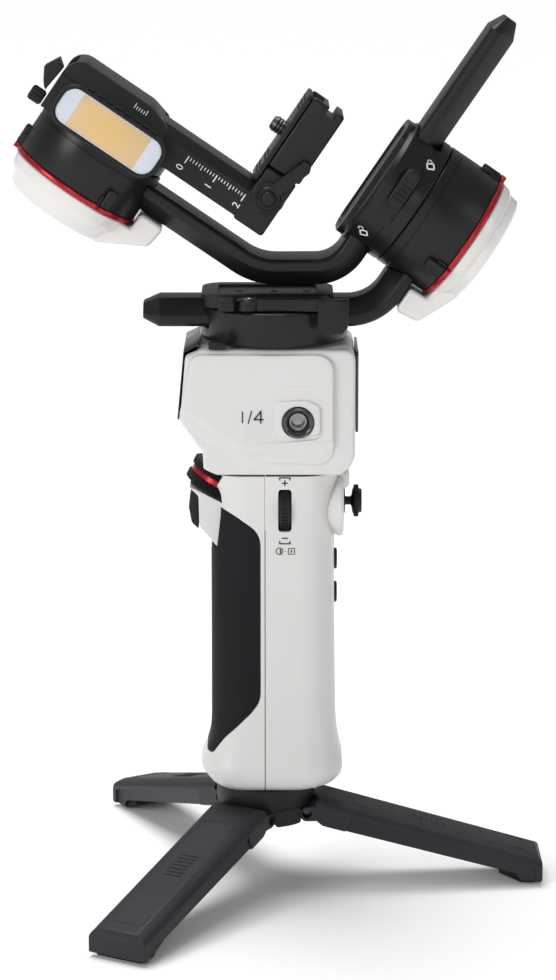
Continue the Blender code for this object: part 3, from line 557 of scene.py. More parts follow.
def dial_window():
    """The open stretch of the neck that shows the dial from both sides."""
    room = block((-40, -40, -DIAL_THICK / 2 - 0.6), (-2.9, 40, DIAL_THICK / 2 + 0.6))
    room.data.transform(spot(*DIAL_AT, DIAL_TILT, "Y"))
    return room


def half_off(shape, x, keep_front):
    """Cuts the handle down its side seam."""
    with editing(shape):
        bpy.ops.mesh.bisect(plane_co=(x, 0, 0), plane_no=(1, 0, 0), use_fill=True,
                            clear_outer=keep_front, clear_inner=not keep_front)
    return shape


def handle():
    levels = eased_levels(HANDLE_LEVELS)
    core = [level for level in levels if 42 < level[0] < 160]

    front = half_off(boxy(levels), -AIR / 2, True)
    cut(front, plate(pad_outline(AIR), -60, 60))
    middle = half_off(boxy(inner(core, PAD_DEPTH + AIR)), -AIR / 2, True)
    nose = plate(nose_outline(), -13.5, 13.5)
    bevel_edges(nose, 1.6, 4, lambda e: not level_with(e, "y") and min(
        v.co.x for v in e.verts) < -6 and max(v.co.z for v in e.verts) < 162)
    half_off(nose, -AIR / 2, True)
    fuse(front, middle, nose)
    cut(front, dial_room(0.6), dial_window(), block((-40, -5.4, 139.4), (-21.6, 5.4, 153.4)))
    settle(front, "grip_side_shell", HANDLE, "handle", "white_body", WHITE, "handle_front_shell")

    rear = half_off(boxy(levels), AIR / 2, False)
    pod = turned([(4, 11.5), (16.2, 27.0), (16.6, 28.0), (16.4, 29.0), (15.6, 29.4)], 80)
    pod.data.transform(spot(0, 0, STICK_Z) @ Matrix.Diagonal((1, 1.18, 0.78, 1))
                       @ Matrix.Rotation(math.radians(90), 4, "Y"))
    hood = block((27.0, -9.5, 155.6), (31.6, 9.5, 162.4))
    soften(hood, 1.8, 4)
    fuse(rear, pod, hood)
    cut(rear, dial_room(0.6), along(turned([(8.6, 0), (8.6, 30)], 64), "x", (20.0, 0, STICK_Z)),
        soften(block((4.9, -40, 141.6), (9.9, -16, 158.0)), 1.2, 4),
        block((4.9, -18.4, 139.9), (9.9, -3, 159.7)))
    for z in BUTTONS.values():
        cut(rear, along(turned([(4.3, 0), (4.3, 30)], 40), "x", (21.0, 0, z)))
    cut(rear, along(turned([(3.3, 0), (3.3, 30)], 32), "y", (POWER_X, 15.5, POWER_Z)))
    settle(rear, "user_side_shell", HANDLE, "handle", "white_body", WHITE, "handle_rear_shell")

    pad = half_off(boxy(levels), -1.0, True)
    combine(pad, "INTERSECT", [plate(pad_outline(), -60, 60)])
    grown_nose = plate(nose_outline(AIR), -13.8, 13.8)
    cut(pad, boxy(inner(core, PAD_DEPTH)), grown_nose)
    soften(pad, 0.6, 3, 50)
    settle(pad, "grip_cushion", HANDLE, "handle", "grip_rubber", RUBBER, "grip_pad")


# ---- head ----
def head_outline():
    return arc_corners([
        (-23.0, HEAD_TOP, 3), (-29.2, 208.6, 2), (-31.3, 184.2, 3), (-23.0, 172.6, 3),
        (-22.6, NECK_TOP + AIR, 0), (27.6, NECK_TOP + AIR, 0), (31.4, 166.2, 3), (33.3, 171.0, 3),
        (33.3, HEAD_TOP, 4)], 6)


def panel_outline(g=0.0):
    return arc_corners([
        (-24.2 - g, 209.6 + g, 3.5), (-26.9 - g, 208.4 + g, 3), (-31.6 - g, 186.5, 3),
        (-22.9 - g, 176.0 - g, 5), (-6.4, 171.4 - g, 6), (0.4, 169.1 - g, 6),
        (25.2 + g, 168.4 - g, 6), (25.3 + g, 209.6 + g, 6)], 6)


def sloped_plane(a, b):
    """The plane across Y through two points (x, z), facing down."""
    way = Vector((b[0] - a[0], 0, b[1] - a[1])).normalized()
    return Vector((a[0], 0, a[1])), Vector((way.z, 0, -way.x))


def side_panel(name, node, near):
    """A moulded cover, its lower edge folded back along a crease. The near one has the port."""
    shape = plate(panel_outline(), -26.9, -24.9)
    co, no = sloped_plane((-6.4, 173.0), (24.0, 177.6))
    co_left, no_left = sloped_plane((-33.0, 190.5), (-6.4, 173.0))
    with editing(shape):
        bpy.ops.mesh.bisect(plane_co=co, plane_no=no)
        bpy.ops.mesh.select_all(action="SELECT")
        bpy.ops.mesh.bisect(plane_co=co_left, plane_no=no_left)
        choose(shape, "VERT", lambda v: v.co.y < -26 and max(
            (v.co - co).dot(no), (v.co - co_left).dot(no_left)) > 0.3)
        bpy.ops.transform.translate(value=(0, 1.5, 0))
        choose(shape, "EDGE", lambda e: all(v.co.y < -25.5 for v in e.verts)
               and e.calc_face_angle(0) > 0.15)
        bpy.ops.mesh.bevel(offset=0.9, segments=4, affect="EDGES", clamp_overlap=True)
    if near:
        dish = plate(arc_corners([(-9.0, 196.6, 2), (19.2, 198.4, 3), (22.0, 196.0, 3),
                                  (22.0, 179.4, 3), (18.6, 177.8, 3), (-9.0, 175.6, 2)]), -2, 2)
        soften(dish, 0.7, 4)
        dish.data.transform(spot(8.0, -28.3, 0, 2.2) @ spot(-8.0))
        stand = plate(arc_corners([(3.6, 192.4, 2), (15.2, 192.8, 2.5), (20.4, 190.6, 3),
                                   (20.4, 179.9, 1.6), (3.6, 179.0, 2)]), -26.75, -25.2)
        soften(stand, 0.5, 3)
        cut(shape, dish)
        fuse(shape, stand)
        cut(shape, along(turned([(6.1, 0), (6.1, 30)], 64), "-y", (PORT[0], -20, PORT[1])))
    else:
        mirrored(shape)
    settle(shape, name, HANDLE, "handle", "white_body", WHITE, node)


def head():
    housing = plate(head_outline(), -24.6, 24.6)
    bevel_edges(housing, 7.0, 8, lambda e: all(v.co.x > 33.2 and abs(v.co.y) > 24
                and v.co.z > 174 for v in e.verts))
    for side in (-1, 1):
        lip = plate([(side * 24.7, 170.0), (side * 22.15, NECK_TOP), (side * 27, NECK_TOP),
                     (side * 27, 170.0)], -40, 40, "x")
        cut(housing, lip)
    soften(housing, 2.0, 4, 40)
    room = plate([(-24.5, 206.5), (-27.5, 186), (-17.5, 173), (-17.5, 150), (22.5, 150),
                  (22.5, 168), (30.6, 172), (30.6, 208.4), (-22, 208.4)], -22.0, 22.0)
    cut(housing, room, dial_room(0.6), dial_window(),
        along(turned([(4.9, 15), (4.9, 60)], 48), "-y", (PORT[0], 0, PORT[1])))
    settle(housing, "head_shell", HANDLE, "handle", "white_body", WHITE, "head_housing")
    side_panel("near_cover", "side_panel_near", True)
    side_panel("far_cover", "side_panel_far", False)
    refine("front_trim", "handle", "gloss_black", TRIM, 0.35, name="grip_side_trim")

    screen = block((33.6, -17, 178.5), (34.6, 17, 209.0))
    bevel_edges(screen, 2.0, 6, lambda e: level_with(e, "x"))
    with editing(screen):
        choose(screen, "FACE", lambda f: f.normal.x > 0.9)
        bpy.ops.mesh.inset(thickness=2.2)
        bpy.ops.mesh.inset(thickness=0.15, depth=-0.12)
    soften(screen, 0.18, 2)
    settle(screen, "display_window", HANDLE, "handle", "display", SCREEN, "display_panel")

    bezel = turned([(5.75, 11.4), (5.45, 11.95), (4.9, 12.05), (4.25, 11.7), (3.6, 10.6),
                    (3.2, 10.2), (3.2, 0), (4.6, 0), (4.6, 9.6), (5.75, 9.6)], 72, True)
    along(bezel, "-y", (PORT[0], -15.4, PORT[1]))
    settle(bezel, "port_bezel", HANDLE, "handle", "black_metal", TRIM, "port_bush")
    socket = turned([(3.1, 2.0), (3.1, 8.6), (2.75, 8.6), (2.55, 7.0), (2.75, 6.6), (2.55, 6.2),
                     (2.55, 2.4), (0.2, 2.0)], 64)
    along(socket, "-y", (PORT[0], -15.4, PORT[1]))
    settle(socket, "port_socket", HANDLE, "handle", "steel", SOCKET)


# ---- printed marks ----
def bar(a, b, width, thick=0.05):
    """A printed bar from a to b (x, y) on the plane z = 0."""
    a, b = Vector(a), Vector(b)
    length = (b - a).length
    shape = block((-width / 2, -width / 2, 0), (length + width / 2, width / 2, thick))
    bevel_edges(shape, width * 0.3, 2, lambda e: level_with(e, "z"))
    turn = math.degrees(math.atan2(b.y - a.y, b.x - a.x))
    shape.data.transform(spot(a.x, a.y, 0, turn))
    return shape


def line_of(points, width, thick=0.05):
    return joined([bar(a, b, width, thick) for a, b in zip(points, points[1:])])


def ring(x, y, radius, width, start=0, end=360, steps=24, thick=0.05):
    angles = [math.radians(start + (end - start) * k / steps) for k in range(steps + 1)]
    return line_of([(x + radius * math.cos(a), y + radius * math.sin(a)) for a in angles],
                   width, thick)


def digits(text, x, y, size, thick=0.05):
    """Printed digits, centred on (x, y)."""
    curve = bpy.data.curves.new("digits", "FONT")
    curve.body = text
    curve.size = size
    curve.align_x = "CENTER"
    curve.align_y = "CENTER"
    curve.extrude = thick / 2
    curve.resolution_u = 4
    pick(placed("digits", curve))
    bpy.ops.object.convert(target="MESH")
    shape = bpy.context.object
    shape.data.transform(Matrix.Translation((x, y, thick / 2)))
    return shape


def facing_near(y, pivot=0.0, lean=0.0):
    """A plane in a frame, for marks that face -Y: its x is the frame's x, its y the frame's z.

    It leans outwards by some degrees about a height.
    """
    return (Matrix.Translation((0, y, pivot)) @ Matrix.Rotation(math.radians(90 + lean), 4, "X")
            @ Matrix.Translation((0, -pivot, 0)))


def printed(shapes, name, place, body, ink):
    settle(joined(shapes), name, place, body, "black_plastic", ink)


def handle_marks():
    wide = 0.5
    marks = [
        line_of([(WHEEL_X - 1.9, 161.8), (WHEEL_X - 1.9, 162.6), (WHEEL_X + 1.9, 162.6),
                 (WHEEL_X + 1.9, 161.8)], wide),
        bar((WHEEL_X - 0.9, 160.5), (WHEEL_X + 0.9, 160.5), wide),
        bar((WHEEL_X, 159.6), (WHEEL_X, 161.4), wide)]
    printed(marks, "plus_mark", HANDLE @ facing_near(-21.78, 160.5, 5.7), "handle", DARK_INK)
    marks = [
        line_of([(WHEEL_X - 1.9, 137.9), (WHEEL_X - 1.9, 137.1), (WHEEL_X + 1.9, 137.1),
                 (WHEEL_X + 1.9, 137.9)], wide),
        bar((WHEEL_X - 0.9, 139.2), (WHEEL_X + 0.9, 139.2), wide),
        ring(WHEEL_X - 2.0, 134.2, 1.25, 0.28),
        bar((WHEEL_X - 1.6, 133.6), (WHEEL_X - 1.6, 134.8), 0.6),
        bar((WHEEL_X + 0.1, 134.2), (WHEEL_X + 0.2, 134.2), 0.3),
        line_of([(WHEEL_X + 1.3, 133.1), (WHEEL_X + 3.6, 133.1), (WHEEL_X + 3.6, 135.3),
                 (WHEEL_X + 1.3, 135.3), (WHEEL_X + 1.3, 133.1)], 0.28),
        bar((WHEEL_X + 2.45, 133.9), (WHEEL_X + 2.45, 134.5), 0.5)]
    printed(marks, "minus_mark", HANDLE @ facing_near(-20.5), "handle", DARK_INK)
    marks = [bar((-8.2, 184.6), (-8.2, 188.4), 0.55), bar((-6.1, 184.2), (-4.9, 188.7), 0.45),
             line_of([(-1.5, 184.4), (-1.5, 188.6), (-3.9, 185.6), (-0.7, 185.6)], 0.55)]
    printed(marks, "quarter_mark", HANDLE @ facing_near(-26.9), "handle", DARK_INK)


# ---- controls ----
def knurled_band(low, high, radius, sides=84, rows=4):
    """A ring of small pyramids."""
    zs = [low + (high - low) * k / rows for k in range(rows + 1)]
    shape = turned([(radius - 1.6, low - 0.35)] + [(radius - 0.35, z) for z in zs]
                   + [(radius - 1.6, high + 0.35)], sides)
    with editing(shape):
        choose(shape, "FACE", lambda f: abs(f.normal.z) < 0.3)
        bpy.ops.mesh.poke(offset=0.55)
    return shape


def controls():
    half = DIAL_THICK / 2
    tilt = HANDLE @ spot(*DIAL_AT, DIAL_TILT, "Y")
    upper = knurled_band(1.35, half - 0.4, DIAL_RADIUS)
    lower = knurled_band(0.4 - half, -1.35, DIAL_RADIUS)
    cap = turned([(11.8, half), (12.4, half - 0.3), (12.4, 0.3 - half), (11.8, -half)], 72)
    settle(joined([upper, lower, cap]), "focus_dial", tilt, "control_dial", "black_plastic",
           PLASTIC, "control_dial", angle=20)
    band = turned([(12.9, 1.2), (13.25, 0.9), (13.25, -0.9), (12.9, -1.2)], 84)
    settle(band, "dial_band", tilt, "control_dial", "red_metal", RED)

    sides = 84
    wheel = turned([(8.7, -2.0), (9.0, -1.8), (9.25, -1.5), (9.25, 1.5), (9.0, 1.8), (8.7, 2.0)],
                   sides)
    with editing(wheel):
        choose(wheel, "FACE", lambda f: abs(f.normal.z) < 0.1 and int(
            round(math.degrees(math.atan2(f.normal.y, f.normal.x)) / (360 / sides) - 0.5)) % 2 == 0)
        bpy.ops.mesh.inset(thickness=0.06, use_individual=True)
        bpy.ops.transform.shrink_fatten(value=0.4)
    along(wheel, "x", (WHEEL_X, -13.6, 149.8))
    settle(wheel, "ribbed_wheel", HANDLE, "thumb_wheel", "black_plastic", PLASTIC, "thumb_wheel",
           angle=20)
    refine("trigger", "trigger", "black_plastic", PLASTIC, 0.7, 4, name="trigger_blade")
    refine("pan_lock", "pan_lock", "black_plastic", PLASTIC, 0.3, 3, name="pan_lock_tab")

    stick = HANDLE @ spot(27.5, 0, STICK_Z, 90, "Y")
    socket = turned([(3.6, 2.6), (4.4, 2.6), (5.4, 2.0), (6.3, 1.2), (7.0, 0.2), (7.0, -1.5),
                     (3.6, -1.5)], 72, True)
    settle(socket, "stick_boot", stick, "joystick_ring", "black_plastic", PLASTIC,
           "joystick_ring", angle=30)
    stem = turned([(2.6, -3.0), (2.7, -1.5), (3.1, 0), (3.0, 0.9), (2.5, 1.8), (1.8, 2.5),
                   (1.6, 3.1), (1.6, 4.7), (2.2, 5.1), (4.2, 5.4), (4.9, 5.7), (5.9, 6.0),
                   (6.1, 6.25), (6.1, 7.5), (5.9, 7.7), (4.8, 7.8), (4.6, 8.0), (4.5, 8.7),
                   (4.3, 8.9), (3.4, 8.85), (2.4, 8.5), (1.0, 8.35)], 72)
    with editing(stem):
        choose(stem, "FACE", lambda f: abs(f.normal.z) < 0.2 and f.calc_center_median().z > 6.2
               and f.calc_center_median().z < 7.5)
        bpy.ops.mesh.inset(thickness=0.08, use_individual=True)
        bpy.ops.transform.shrink_fatten(value=-0.15)
    settle(stem, "thumb_stick", stick, "joystick", "black_plastic", PLASTIC, "joystick", angle=30)

    def button(radius, reach):
        return turned([(radius, 0), (radius, reach - 0.5), (radius - 0.15, reach - 0.2),
                       (radius - 0.5, reach), (radius - 0.9, reach - 0.05),
                       (radius - 1.6, reach - 0.3), (0.6, reach - 0.38)], 56)
    for name, z in BUTTONS.items():
        cap = along(button(4.0, 3.4), "x", (23.8, 0, z))
        settle(cap, name + "_cap", HANDLE, name, "black_plastic", PLASTIC, name)
    dot = along(turned([(1.3, 3.0), (1.2, 3.12), (0.4, 3.16)], 40), "x",
                (23.8, 0, BUTTONS["record_button"]))
    settle(dot, "record_dot", HANDLE, "record_button", "red_metal", RED)
    square = block((-1.1, -1.1, 3.0), (1.1, 1.1, 3.12))
    bevel_edges(square, 0.25, 2, lambda e: level_with(e, "z"))
    along(square, "x", (23.8, 0, BUTTONS["mode_button"]))
    settle(square, "mode_dot", HANDLE, "mode_button", "white_body", WHITE_INK)
    cap = along(button(3.0, 3.4), "y", (POWER_X, 18.4, POWER_Z))
    settle(cap, "power_button_cap", HANDLE, "power_button", "black_plastic", PLASTIC,
           "power_button")
    mark = [ring(0, 0, 0.85, 0.2, 120, 420, 16), bar((0, 0.3), (0, 1.1), 0.2)]
    facing_far = Matrix.Translation((POWER_X, 21.5, POWER_Z)) @ Matrix.Rotation(
        math.radians(-90), 4, "X")
    printed(mark, "power_mark", HANDLE @ facing_far, "power_button", WHITE_INK)


# ---- tripod ----
def hub():
    shape = turned([(18.3, 39.6), (18.7, 39.3), (18.7, 32.1), (18.5, 31.8), (18.1, 31.7),
                    (18.1, 31.4), (18.4, 31.3), (18.5, 31.0), (18.5, 25.9), (18.2, 25.2),
                    (17.4, 24.7)], MANY)
    pr = LEG_PIVOT[0]
    w = LEG_HALF + 0.5
    for i in range(3):
        room = plate([(10.4, -w), (30, -w), (30, w), (10.4, w), (10.4, 3.6), (pr + 2.9, 3.6),
                      (pr + 2.9, -3.6), (10.4, -3.6)], 20.0, 31.2, "z")
        room.data.transform(spot(turn=120 * i))
        cut(shape, room)
    settle(soften(shape, 0.25, 2, 50), "hub_body", HANDLE, "handle", "black_plastic", PLASTIC,
           "tripod_hub")


def leg_body():
    """A leg along +X from the handle's axis, spread on the ground."""
    pr, pz = LEG_PIVOT
    eye = [(pr + 2.8 * math.cos(a), pz + 2.8 * math.sin(a))
           for a in [math.radians(90 + 18 * k) for k in range(11)]]
    rest = arc_corners([
        (19.6, 25.6, 0), (22.0, 23.6, 1), (26.0, 22.5, 3), (96.4, 4.1, 2), (98.6, 1.0, 1),
        (106.6, 1.0, 0.8), (106.6, 8.6, 1.5), (104.8, 10.9, 1.5), (30.0, 31.9, 14), (24.0, 33.7, 4),
        (20.6, 33.8, 1.2), (19.4, 32.8, 0), (19.4, 31.1, 0)], 5)
    shape = plate(eye + rest, -LEG_HALF, LEG_HALF)

    crown = plate(arc_corners([(-LEG_HALF, -60, 0), (LEG_HALF, -60, 0), (LEG_HALF, -1.8, 3.0),
                               (7.2, 0, 7), (-7.2, 0, 7), (-LEG_HALF, -1.8, 3.0)], 6),
                  -30.0, 95.0, "x")
    crown.data.transform(spot(30.0, 0, 31.95) @ Matrix.Rotation(LEG_FALL, 4, "Y"))
    combine(shape, "INTERSECT", [crown])
    bevel_edges(shape, 0.7, 3, lambda e: not level_with(e, "y") and all(
        abs(v.co.y) > 11.9 and v.co.x > 21.5 for v in e.verts) and e.calc_face_angle(0) > 0.8)
    for side in (-1, 1):
        relief = plate(arc_corners([
            (33.0, 27.0, 0), (104.0, 6.9, 1.2), (104.0, -8.0, 0), (35.0, 11.0, 0),
            (29.4, 19.0, 5)], 6), 10.9, 20)
        soften(relief, 0.5, 2)
        cut(shape, relief if side > 0 else mirrored(relief))
    room = plate([(88, 6.2), (99.6, 3.4), (105.6, 3.4), (105.6, -2), (88, -2)], -9.9, 9.9)
    cut(shape, room, block((pr - 6, -3.9, pz - 12), (pr + 5.4, 3.9, pz + 3.4)),
        along(turned([(1.8, -20), (1.8, 20)], 40), "y", (pr, 0, pz)))
    return shape


def leg_marks():
    """Thin raised lines near both ends and grip ribs between, on the leg's upper face."""
    slope = Matrix.Translation((30.0, 0, 31.9)) @ Matrix.Rotation(LEG_FALL, 4, "Y")
    shapes = [line_of([(10.0, -6.5), (4.6, -6.5), (3.4, -5.2), (3.4, 5.2), (4.6, 6.5),
                       (10.0, 6.5)], 0.35, 0.22),
              line_of([(66.0, -6.5), (71.4, -6.5), (72.6, -5.2), (72.6, 5.2), (71.4, 6.5),
                       (66.0, 6.5)], 0.35, 0.22)]
    for k in range(7):
        x = 27.0 + 2.2 * k
        shapes.append(bar((x, -3.4), (x, 3.4), 0.8, 0.35))
    shape = joined(shapes)
    shape.data.transform(slope @ Matrix.Translation((0, 0, -0.12)))
    return shape


def foot_pad():
    shape = plate(arc_corners([
        (90.0, 5.5, 0), (99.6, 3.0, 0), (105.3, 3.0, 0), (105.3, 0.6, 0.4), (104.9, 0, 0.3),
        (98.5, 0, 2), (90.0, 3.8, 0.5)], 4), -9.6, 9.6)
    return soften(shape, 0.35, 3)


def tripod():
    hub()
    for i, name in enumerate(("right", "far", "near")):
        place = HANDLE @ spot(turn=120 * i)
        body = "leg_" + name
        settle(leg_body(), body + "_moulding", place, body, "leg_grey", LEG, body)
        settle(leg_marks(), body + "_ribs", place, body, "leg_grey", LEG)
        settle(foot_pad(), "foot_" + name + "_pad", place, body, "grip_rubber", RUBBER,
               "foot_" + name)
        pin = along(turned([(1.2, -9), (1.5, -8.7), (1.5, 8.7), (1.2, 9)], 32), "y",
                    (LEG_PIVOT[0], 0, LEG_PIVOT[1]))
        settle(pin, "hinge_pin_" + name, place, "handle", "steel", DARK_STEEL, "leg_pin_" + name)


# ---- arms ----
def arm_section(thin=1.0):
    """The end face of an arm, in YZ at the origin: wide chamfers above, small ones below."""
    w, h, low = ARM_WIDTH / 2, ARM_HEIGHT / 2, 1.3
    outline = [(w - ARM_CHAMFER, h), (ARM_CHAMFER - w, h), (-w, h - ARM_CHAMFER), (-w, low - h),
               (low - w, -h), (w - low, -h), (w, low - h), (w, h - ARM_CHAMFER)]
    return [(y * thin, z * thin) for y, z in outline]


def bent_bar(start, heading, moves, tip):
    """Draws an arm's section along straight runs and turns, in XZ; its start is a point.

    heading is in degrees from +X towards +Z. A turn is (radius, degrees), positive to the left.
    """
    way = math.radians(heading)
    shape = plate(arm_section(tip), -0.01, 0.01, "x")
    with editing(shape):
        choose(shape, "FACE", lambda f: f.normal.x < 0.5)
        bpy.ops.mesh.delete(type="FACE")
        bpy.ops.mesh.select_all(action="SELECT")
        bpy.ops.mesh.normals_make_consistent(inside=False)
    shape.data.transform(Matrix.Translation((start[0], 0, start[1]))
                         @ Matrix.Rotation(-way, 4, "Y"))
    x, z = start
    with editing(shape):
        first = True
        for move in moves:
            if move[0] == "run":
                step = (move[1] * math.cos(way), 0, move[1] * math.sin(way))
                bpy.ops.mesh.extrude_region_move(TRANSFORM_OT_translate={"value": step})
                x, z = x + step[0], z + step[2]
                if first:
                    bpy.ops.transform.resize(value=(1 / tip, 1 / tip, 1 / tip),
                                             center_override=(x, 0, z))
                    first = False
            else:
                radius, degrees = move[1], move[2]
                side = 1 if degrees > 0 else -1
                centre = (x - side * radius * math.sin(way), 0, z + side * radius * math.cos(way))
                bpy.ops.mesh.spin(steps=max(6, int(abs(degrees) / 3)),
                                  angle=math.radians(degrees), center=centre, axis=(0, 1, 0))
                way += math.radians(degrees)
                x = centre[0] + side * radius * math.sin(way)
                z = centre[2] - side * radius * math.cos(way)
        bpy.ops.mesh.select_all(action="SELECT")
        bpy.ops.mesh.remove_doubles(threshold=0.001)
        bpy.ops.mesh.fill_holes(sides=0)
        bpy.ops.mesh.select_all(action="SELECT")
        bpy.ops.mesh.normals_make_consistent(inside=False)
    return shape


def pan_arm():
    lean = math.radians(ROLL_TILT)
    corner = PAN.inverted() @ ROLL @ Vector((PAN_ARM_ROOT, 0, 0))
    corner_x = corner.x - corner.z * math.tan(lean)
    start_x = PAN_ARM_START - PAN_X
    turn = 90 - ROLL_TILT
    reach = PAN_ARM_RADIUS * math.tan(math.radians(turn / 2))
    shape = bent_bar((start_x, 0), 0, [
        ("run", ARM_TIP), ("run", corner_x - reach - start_x - ARM_TIP),
        ("turn", PAN_ARM_RADIUS, turn), ("run", PAN_ARM_RISE - reach)], 0.55)
    cut(shape, motor_bore(PAN.inverted() @ ROLL @ spot(0, 0, 0, 90, "Y"), -60, 60))
    settle(soften(shape, 0.35, 2, 20), "pan_bar", PAN, "pan_arm", "black_metal", BLACK, "pan_arm")


def pan_axis():
    top = PAN_SPLIT - PAN_Z
    slide = ARM_WIDTH / 2 + SLIDE_GAP
    rotor = turned([(26.2, top), (26.9, top - 0.25), (27.3, top - 0.8), (27.3, -9.5),
                    (27.0, -10.0), (26.5, -10.3), (22.0, -10.3)])
    channel = block((-40, -slide, -ARM_HEIGHT / 2 - AIR), (40, slide, 20))
    cut(rotor, channel)
    settle(soften(rotor, 0.3, 2, 50), "pan_motor_rim", PAN, "pan_base", "black_metal", SATIN,
           "pan_rotor")
    low = PAN_SPLIT + AIR - PAN_Z
    high = PAN_CLAMP_TOP - PAN_Z
    clamp = plate(arc_corners([(-27.0, -16.5, 8), (21.8, -16.5, 8), (21.8, 16.5, 8),
                               (-27.0, 16.5, 8)], 10), low, high, "z")
    with editing(clamp):
        choose(clamp, "FACE", lambda f: f.normal.z > 0.9)
        bpy.ops.mesh.inset(thickness=0.8)
        bpy.ops.transform.translate(value=(0, 0, 0.25))
        bpy.ops.mesh.inset(thickness=5.2)
        bpy.ops.mesh.inset(thickness=0.4, depth=-0.9)
    for x in (-13, 0, 12):
        dent = turned([(1.5, high - 1.2), (1.5, 20)], 32)
        dent.data.transform(spot(x))
        cut(clamp, dent)
    pivot = soften(block((-20.5, -25.4, low), (-14.6, -15.0, high - 0.2)), 0.8, 3)
    saddle = block((-40, -slide, -20), (40, slide, ARM_HEIGHT / 2 + AIR))
    fuse(clamp, pivot)
    cut(clamp, saddle)
    settle(soften(clamp, 0.22, 2, 40), "pan_clamp_plate", PAN, "pan_base", "black_metal", BLACK,
           "pan_clamp")
    high = PAN_LEVER_TOP - PAN_Z
    lever = plate([(3.0, 1.2), (3.0, -3.2), (31.5, -3.2), (37.0, -1.6), (37.0, 1.2)], low, high,
                  "z")
    soften(lever, 0.5, 3)
    eye = turned([(3.7, low), (4.2, low + 0.5), (4.2, high - 0.5), (3.7, high)], FEW)
    finger = plate([(25.5, high - 0.4), (25.5, -3.0), (27.4, -5.2), (34.6, -5.2),
                    (36.6, -2.6), (36.6, high - 0.4)], -5.2, -2.6)
    fuse(lever, eye, soften(finger, 0.5, 3))
    settle(lever, "pan_lever_blade", PAN @ spot(*PAN_LEVER_PIVOT), "pan_lever", "black_metal",
           SATIN, "pan_lever")
    pin = turned([(1.9, high - 0.5), (1.9, high + 0.05), (1.6, high + 0.2), (0.8, high + 0.2),
                  (0.7, high - 0.1)], 40)
    settle(pin, "pan_lever_pin", PAN @ spot(*PAN_LEVER_PIVOT), "pan_lever", "steel", STEEL)
    settle(turned([(20.0, -8.0), (20.5, -8.0), (21.5, -9.0), (21.5, -11.2), (20.0, -11.2)]),
           "pan_winding", PAN, "handle", "winding", COPPER, "pan_stator")


# ---- motors ----
def motor_bore(place_in, low, high):
    bore = turned([(MOTOR_RADIUS + AIR, low), (MOTOR_RADIUS + AIR, high)], MANY)
    bore.data.transform(place_in)
    return bore


def motor(name, length, cap_depth, arm_low, place, cap_taper, body):
    """A motor's case, red ring and white cap.

    Z is its axis, with the split at 0 and the cap below it. The arm joins at +X.
    """
    r = MOTOR_RADIUS
    lugs = (180, 60, -60)
    case = turned([(r - 1.0, 0), (r - 0.35, -0.15), (r, -0.55), (r, -3.6), (r - 0.22, -3.75),
                   (r - 0.22, -4.15), (r, -4.3), (r, -length + 0.3), (r - 0.25, -length),
                   (r - 2.6, -length), (r - 2.6, -3.5), (6.4, -3.5), (6.4, 0)], FINEST, True)
    for angle in lugs:
        lug = soften(block((r - 1.5, -2.1, -length), (r + 1.9, 2.1, 7.6 - length)), 0.7, 3)
        collar = soften(block((r - 1.5, -3.1, -length), (r + 0.7, 3.1, 4.2 - length)), 0.4, 2)
        for part in (lug, collar):
            part.data.transform(spot(turn=angle))
            fuse(case, part)
    settle(case, name + "_motor_case", place, body, "black_metal", SATIN, name + "_case",
           angle=40)
    low = -length - 2.1
    top = -length - AIR / 2
    red = turned([(r - 0.1, top), (r + 0.25, top - 0.15), (r + 0.4, top - 0.5),
                  (r + 0.4, low + 0.5), (r + 0.2, low + 0.12), (r - 0.1, low), (r - 2.4, low),
                  (r - 2.4, top)], FINEST, True)
    for angle in lugs:
        bump = soften(block((r - 1.5, -2.1, low), (r + 1.9, 2.1, top)), 0.35, 2)
        bump.data.transform(spot(turn=angle))
        fuse(red, bump)
    settle(red, name + "_red_ring", place, body, "red_metal", RED, name + "_ring", angle=40)
    top = low - 0.12
    floor = top - cap_depth
    knee = top - cap_depth * 0.42
    cap = turned([(r - 1.6, top), (r - 0.8, top - 0.1), (r - 0.5, top - 0.5),
                  (r - 1.0, knee + 0.9), (r - 1.5, knee), (r - 2.6, knee - 1.1),
                  (cap_taper + 1.3, floor + 0.9), (cap_taper + 0.3, floor + 0.2),
                  (cap_taper - 1.0, floor)], FINEST)
    cover = plate(arc_corners([(10, top - 0.05, 0), (r + 0.6, top - 0.05, 0),
                               (r + 0.6, arm_low - 0.4, 0), (36.0, arm_low - 0.4, 2.0),
                               (34.8, top - 2.0, 3.0), (cap_taper - 1, floor + 0.23, 3.0),
                               (10, floor + 0.23, 0)], 8), -12.0, 12.0)
    soften(cover, 1.6, 5, 50)
    fuse(cap, cover)
    settle(cap, name + "_white_cap", place, body, "white_cap", CAP_WHITE, name + "_cap",
           angle=30)
    winding = turned([(6.4, -5.0), (19.0, -5.0), (20.5, -6.5), (20.5, 1.5 - length),
                      (6.4, 1.5 - length)], MANY, True)
    settle(winding, name + "_winding", place, body, "winding", COPPER, name + "_stator")


def shaft(name, length, place, body):
    shape = turned([(5.4, 0), (6.0, -0.6), (6.0, 3.4 - length), (5.6, 3.0 - length)], FEW)
    settle(shape, name + "_motor_shaft", place, body, "steel", STEEL, name + "_shaft")


# ---- roll axis ----
def padlock(open_shackle):
    """A padlock sign, 3 by 4, about the origin."""
    body = [(-1.35, -1.8), (1.35, -1.8), (1.35, 0.4), (-1.35, 0.4), (-1.35, -1.8)]
    aside, lift = (-0.85, 0.5) if open_shackle else (0.0, 0.0)
    arch = [(0.85 * math.cos(a) + aside, 1.0 + lift + 0.85 * math.sin(a))
            for a in [math.radians(180 - 22.5 * k) for k in range(9)]]
    first = [arch[0]] if open_shackle else [(arch[0][0], 0.4), arch[0]]
    return [line_of(body, 0.5), line_of(first + arch[1:] + [(arch[-1][0], 0.4)], 0.5)]


